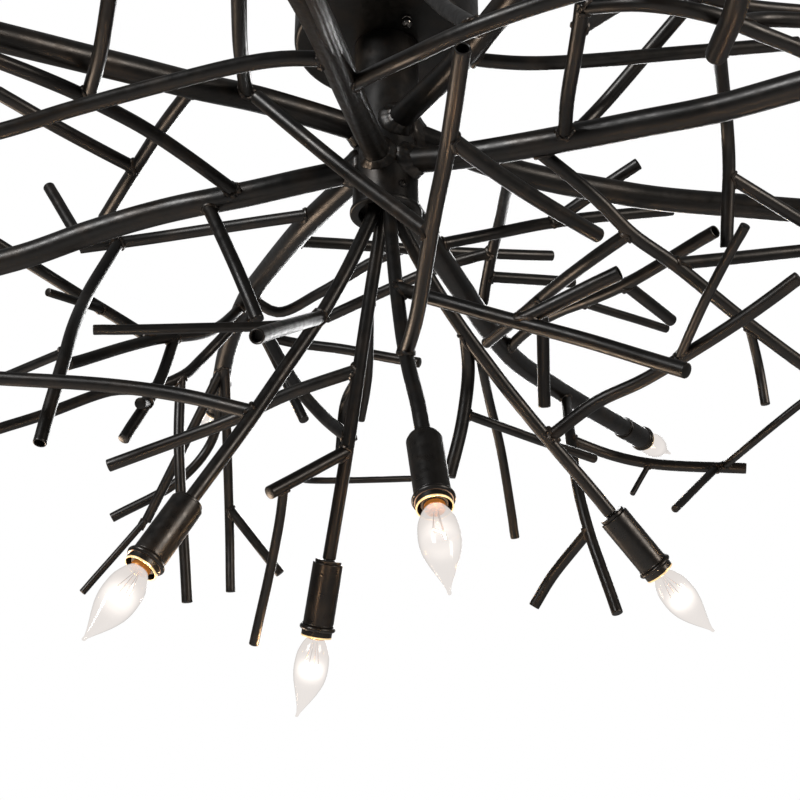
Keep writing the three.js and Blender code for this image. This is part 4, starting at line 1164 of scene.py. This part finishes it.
class CHANDELIER_OT_lamps(Operator):
    """Add the twelve lamps: covers, sockets and lit bulbs"""

    bl_idname = "chandelier.lamps"
    bl_label = "Lamps"

    def execute(self, context):
        scene = context.scene
        hub, tubes, lamp = scene.chandelier_hub, scene.chandelier_tubes, scene.chandelier_lamp
        for item, line in limb_lines(hub, tubes) + arm_lines(hub, tubes):
            place = lamp_place(item, line, hub)
            self.add_cover(item["name"], place, lamp)
            self.add_socket(item["name"], place, lamp, hub.gap)
            turn = Matrix.Rotation(math.radians(item["bulb_turn"]), 4, "Z")
            self.add_bulb(item["name"], place @ turn, lamp)
        return {"FINISHED"}

    def add_cover(self, name, place, lamp):
        """Cover: stepped cap, barrel, rolled ring and lip; brass inside the mouth with a painted
        glow, a rim with a brighter painted glow, and copper on the ring as a painted highlight.
        """
        cap, outer = lamp.cap / 2, lamp.cover / 2
        inner, end = outer - lamp.cover_wall, lamp.cover_length
        ring_top, step = end - lamp.lip, lamp.cap_height
        ring_foot = ring_top - lamp.ring_height
        outline = rounded([(CAP_HOLE, 0), (cap, 0), (cap, step - 0.0005)], 0.0008)
        outline += [(cap - 0.0012, step - 0.0004), (cap - 0.0012, step)]
        outline += rounded([(cap - 0.001, step), (outer, step), (outer, ring_foot - 0.0016)],
                           0.0022, 5)[1:]
        outline += [(outer + 0.0005, ring_foot - 0.0012), (outer + 0.0006, ring_foot - 0.0008),
                    (outer + 0.0004, ring_foot - 0.0003), (outer, ring_foot)]
        bulge = lamp.ring / 2 - outer
        for k in range(1, 12):
            angle = math.pi * k / 12
            rise = ring_foot + lamp.ring_height * (1 - math.cos(angle)) / 2
            outline.append((outer + bulge * math.sin(angle), rise))
        outline += [(outer, ring_top), (outer, end - lamp.rim)]
        outline += rounded([(outer, end - lamp.rim), (outer, end), (inner, end),
                            (inner, step + 0.001)], 0.0004)[1:]
        outline.append((CAP_HOLE, step + 0.001))
        outline.append(outline[0])
        bm = bmesh.new()
        turned(bm, outline, lamp.sides)
        # Painted glow: the share fades with depth from the mouth on the inner wall and rim, and
        # sets the emission of the glowing brass.
        lit = bm.verts.layers.float.new("lit")
        for vert in bm.verts:
            depth = end - vert.co.z
            across = math.hypot(vert.co.x, vert.co.y)
            near = across < inner + 0.0003 or depth < lamp.rim + 0.0001
            vert[lit] = 0.5 ** (depth / 0.003) if near else 0
        # Inner faces near the mouth get brass with a painted glow; the rim's end face gets a
        # brighter painted glow.
        for face in bm.faces:
            low, high = (pick(v.co.z for v in face.verts) for pick in (min, max))
            if all(v[lit] > 0 and v.co.z > step + 0.002 for v in face.verts):
                face.material_index = 1
            if low > end - lamp.rim - 0.0001:
                face.material_index = 2
            # Copper band at the top of the ring: a painted highlight.
            if low > ring_top - lamp.ring_height / 20 and high < ring_top + 0.0001:
                face.material_index = 3
        names = ("lamp_bronze", "brass_painted_glow", "rim_painted_glow", "copper_painted_highlight")
        materials = [material_named(finish) for finish in names]
        piece_from(bm, f"cover_{name}", materials, "fixture",
                   [f"socket_cover_{name}"], place)

    def add_socket(self, name, place, lamp, gap):
        """Socket: a moulded barrel with a brass thread in its mouth, the thread with a painted glow
        that fades down from the mouth.
        """
        outer, bore = lamp.socket / 2, lamp.socket_bore / 2
        top = lamp.cover_length - lamp.socket_setback
        foot = lamp.cap_height + lamp.cover_wall + gap
        bottom = top - lamp.socket_depth
        outline = rounded([(0, foot), (outer, foot), (outer, top), (bore, top)], 0.0008)
        turns = 7
        for k in range(turns * 4):
            share = k / (turns * 4)
            ripple = 0.0002 * math.sin(2 * math.pi * share * turns)
            outline.append((bore + ripple, top - 0.001 - share * (lamp.socket_depth - 0.002)))
        outline += [(bore, bottom), (0, bottom)]
        bm = bmesh.new()
        turned(bm, outline, lamp.sides)
        # Painted glow inside the socket, fading with depth below its top.
        lit = bm.verts.layers.float.new("lit")
        for vert in bm.verts:
            across = math.hypot(vert.co.x, vert.co.y)
            vert[lit] = 0.5 ** ((top - vert.co.z) / 0.004) if across < outer - 0.001 else 0
        for face in bm.faces:
            if all(math.hypot(v.co.x, v.co.y) < bore + 0.0012 for v in face.verts):
                face.material_index = 1
        materials = [material_named("socket_body"), material_named("brass_painted_glow")]
        piece_from(bm, f"holder_{name}", materials, "fixture",
                   [f"socket_{name}"], place)

    def add_bulb(self, name, place, lamp):
        """Bulb: threaded base, flame-tip glass, stem, lead wires and filament."""
        body = f"bulb_of_{name}"
        foot = lamp.cover_length - lamp.socket_setback - lamp.socket_depth + lamp.seat
        glass_foot = foot + lamp.base_length + lamp.collar_height
        self.add_base(name, body, place, lamp, foot, glass_foot)
        self.add_glass(name, body, place, lamp, glass_foot)
        self.add_filament(name, body, place, lamp, glass_foot)

    def add_base(self, name, body, place, lamp, foot, glass_foot):
        """Screw base with its contact button, and the collar that carries the glass, the collar
        painted with an orange glow.
        """
        radius, collar = lamp.base / 2, lamp.collar / 2
        collar_foot = glass_foot - lamp.collar_height
        outline = [(0, foot), (0.002, foot), (0.0026, foot + 0.0008), (0.0045, foot + 0.0022)]
        turns = 5
        for k in range(turns * 6 + 1):
            share = k / (turns * 6)
            ripple = 0.00035 * math.cos(2 * math.pi * share * turns)
            height = foot + 0.003 + share * (lamp.base_length - 0.006)
            outline.append((radius - 0.0004 + ripple, height))
        outline += [(radius, collar_foot - 0.0012), (radius, collar_foot)]
        outline += rounded([(radius, collar_foot), (collar, collar_foot), (collar, glass_foot),
                            (0, glass_foot)], 0.0005)[1:]
        bm = bmesh.new()
        turned(bm, outline, 32)
        # Painted glow: the whole base gets the full share; only the collar's material shows it.
        lit = bm.verts.layers.float.new("lit")
        for vert in bm.verts:
            vert[lit] = 1
        for face in bm.faces:
            if min(v.co.z for v in face.verts) > collar_foot - 0.0001:
                face.material_index = 1
        materials = [material_named("brass"), material_named("collar_painted_glow")]
        piece_from(bm, f"base_{name}", materials, body, (), place)

    def add_glass(self, name, body, place, lamp, glass_foot):
        """Flame-tip glass, its tip leaning a little and ending in a small drop."""
        outline = [(w * lamp.glass / 2, glass_foot + h * lamp.glass_length)
                   for w, h in GLASS_OUTLINE]
        bm = bmesh.new()
        turned(bm, outline, lamp.sides)
        lit = bm.verts.layers.float.new("lit")
        veil = bm.verts.layers.float.new("veil")
        middle = glass_foot + lamp.glass_length / 2
        for vert in bm.verts:
            height_share = (vert.co.z - glass_foot) / lamp.glass_length
            vert[lit] = math.exp(-(((height_share - 0.39) / 0.11) ** 2))
            vert[veil] = 0.38 + 0.48 * math.exp(-((height_share / 0.19) ** 2))
            beyond = max(0, vert.co.z - middle) / (lamp.glass_length / 2)
            vert.co.x += lamp.tip_bend * beyond**2
        piece_from(bm, f"glass_{name}", [material_named("bulb_glass")], body,
                   [f"bulb_{name}"], place, 80)

    def add_filament(self, name, body, place, lamp, glass_foot):
        """Glass stem, four lead wires and the filament between them."""
        bm = bmesh.new()
        turned(bm, [(r, glass_foot + z) for r, z in STEM_OUTLINE], 16)
        piece_from(bm, f"stem_{name}", [material_named("bulb_glass")], body, (), place)
        crown = glass_foot + 0.006
        ends = []
        bm = bmesh.new()
        for k in range(4):
            angle = math.pi * (0.15 + k / 2)
            out = Vector((math.cos(angle), math.sin(angle), 0))
            reach = 0.0075 if k % 2 == 0 else 0.0045
            tip = out * reach + UP * (crown + 0.017)
            ends.append(tip)
            wire_line = smooth_line([out * 0.0022 + UP * (crown - 0.003), tip], 0.004)
            sweep(bm, [(f, LEAD_RADIUS) for f in frames_on(wire_line)], 6)
        piece_from(bm, f"leads_{name}", [material_named("lead_wire")], body, (), place)
        loop = [ends[0], ends[1] + UP * 0.002, ends[2]]
        count = 90
        points = []
        for k in range(count + 1):
            share = 2 * k / count
            base = loop[0].lerp(loop[1], share) if share < 1 else loop[1].lerp(loop[2], share - 1)
            turn = 2 * math.pi * k / 9
            around = Vector((0, math.cos(turn), math.sin(turn)))
            points.append(base + around * FILAMENT_COIL_RADIUS)
        bm = bmesh.new()
        sweep(bm, [(f, FILAMENT_RADIUS) for f in frames_on(points)], 5)
        piece_from(bm, f"filament_{name}", [material_named("filament")], body, (),
                   place)


class CHANDELIER_OT_stage(Operator):
    """Add the floor, the lights, the camera and the world"""

    bl_idname = "chandelier.stage"
    bl_label = "Stage"

    def execute(self, context):
        scene = context.scene
        stage, lamp = scene.chandelier_stage, scene.chandelier_lamp
        self.add_floor(stage)
        self.add_camera(scene, stage)
        self.add_world(scene)
        for softbox in SOFTBOXES:
            self.add_softbox(*softbox)
        hub, tubes = scene.chandelier_hub, scene.chandelier_tubes
        for item, line in limb_lines(hub, tubes) + arm_lines(hub, tubes):
            place = lamp_place(item, line, hub)
            glow = bpy.data.lights.new("lamp_" + item["name"], "POINT")
            glow.energy = GLOW_POWER
            glow.color = GLOW_COLOUR
            glow.shadow_soft_size = GLOW_SIZE
            spot = bpy.data.objects.new(glow.name, glow)
            spot.location = place @ Vector((0, 0, lamp.cover_length + GLOW_HEIGHT))
            scene.collection.objects.link(spot)
        scene.view_settings.view_transform = "Standard"
        return {"FINISHED"}

    def add_floor(self, stage):
        """A plain pale floor, lightened where the camera sees it and lighting nothing."""
        bm = bmesh.new()
        place = Matrix.Translation((0, 0, stage.floor_level))
        bmesh.ops.create_grid(bm, x_segments=2, y_segments=2, size=12, matrix=place)
        mesh = bpy.data.meshes.new("floor")
        bm.to_mesh(mesh)
        bm.free()
        material, nodes, links, shader = new_material("floor")
        shader.inputs["Base Color"].default_value = (*stage.floor, 1)
        shader.inputs["Roughness"].default_value = 0.9
        shader.inputs["Emission Color"].default_value = (1, 1, 1, 1)
        seen = nodes.new("ShaderNodeLightPath")
        pale = spread(nodes, links, seen.outputs["Is Camera Ray"], 0, 1, 0, FLOOR_STRENGTH)
        links.new(pale, shader.inputs["Emission Strength"])
        mesh.materials.append(material)
        floor = bpy.data.objects.new("floor", mesh)
        bpy.context.scene.collection.objects.link(floor)

    def add_camera(self, scene, stage):
        """The camera below the canopy, looking up at the hub."""
        data = bpy.data.cameras.new("camera")
        data.lens = LENS
        data.sensor_width = SENSOR_WIDTH
        camera = bpy.data.objects.new("camera", data)
        camera.location = stage.eye
        camera.rotation_euler = (math.pi / 2 + stage.pitch, 0, 0)
        scene.collection.objects.link(camera)
        scene.camera = camera

    def add_softbox(self, name, spot, size, power, tint):
        """A soft square light aimed at the middle of the branches."""
        light = bpy.data.lights.new(name, "AREA")
        light.shape = "SQUARE"
        light.size = size
        light.energy = power
        light.color = tint
        lamp = bpy.data.objects.new(name, light)
        lamp.location = spot
        aim = Vector((0, 0, -0.3)) - lamp.location
        lamp.rotation_euler = aim.to_track_quat("-Z", "Y").to_euler()
        bpy.context.scene.collection.objects.link(lamp)

    def add_world(self, scene):
        """White behind the object, also through its glass, and softer light on it."""
        world = bpy.data.worlds.new("world")
        scene.world = world
        world.use_nodes = True
        nodes, links = world.node_tree.nodes, world.node_tree.links
        seen = nodes.new("ShaderNodeLightPath")
        white = nodes.new("ShaderNodeBackground")
        soft = nodes["Background"]
        soft.inputs["Color"].default_value = (1, 1, 1, 1)
        soft.inputs["Strength"].default_value = WORLD_STRENGTH
        white.inputs["Color"].default_value = (1, 1, 1, 1)
        either = nodes.new("ShaderNodeMath")
        either.operation = "MAXIMUM"
        links.new(seen.outputs["Is Camera Ray"], either.inputs[0])
        links.new(seen.outputs["Is Transmission Ray"], either.inputs[1])
        mix = nodes.new("ShaderNodeMixShader")
        links.new(either.outputs["Value"], mix.inputs["Fac"])
        links.new(soft.outputs["Background"], mix.inputs[1])
        links.new(white.outputs["Background"], mix.inputs[2])
        links.new(mix.outputs["Shader"], nodes["World Output"].inputs["Surface"])


class CHANDELIER_PT_panel(Panel):
    """The chandelier's pieces and sizes in the sidebar"""

    bl_idname = "CHANDELIER_PT_panel"
    bl_label = "Branch chandelier"
    bl_space_type = "VIEW_3D"
    bl_region_type = "UI"
    bl_category = "Chandelier"

    def draw(self, context):
        for step in STEPS:
            self.layout.operator(step.bl_idname)
        for name in SETTINGS:
            box = self.layout.box()
            settings = getattr(context.scene, name)
            for key in settings.bl_rna.properties.keys():
                if key not in ("rna_type", "name"):
                    box.prop(settings, key)


SETTINGS = {
    "chandelier_tubes": TubeSettings,
    "chandelier_hub": HubSettings,
    "chandelier_lamp": LampSettings,
    "chandelier_finish": FinishSettings,
    "chandelier_stage": StageSettings,
}
STEPS = (
    CHANDELIER_OT_finishes,
    CHANDELIER_OT_canopy,
    CHANDELIER_OT_hub,
    CHANDELIER_OT_branches,
    CHANDELIER_OT_lamps,
    CHANDELIER_OT_stage,
)


def register():
    """Register the settings, the steps and the panel."""
    for name, settings in SETTINGS.items():
        bpy.utils.register_class(settings)
        setattr(bpy.types.Scene, name, PointerProperty(type=settings))
    for item in (*STEPS, CHANDELIER_PT_panel):
        bpy.utils.register_class(item)


def unregister():
    """Remove what register added."""
    for item in (CHANDELIER_PT_panel, *reversed(STEPS)):
        bpy.utils.unregister_class(item)
    for name, settings in SETTINGS.items():
        delattr(bpy.types.Scene, name)
        bpy.utils.unregister_class(settings)


def main():
    """Register the settings, steps and panel, and run every step to build the looks."""
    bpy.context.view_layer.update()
    register()
    for step in STEPS:
        getattr(bpy.ops.chandelier, step.bl_idname.split(".")[1])()


if __name__ == "__main__":
    main()
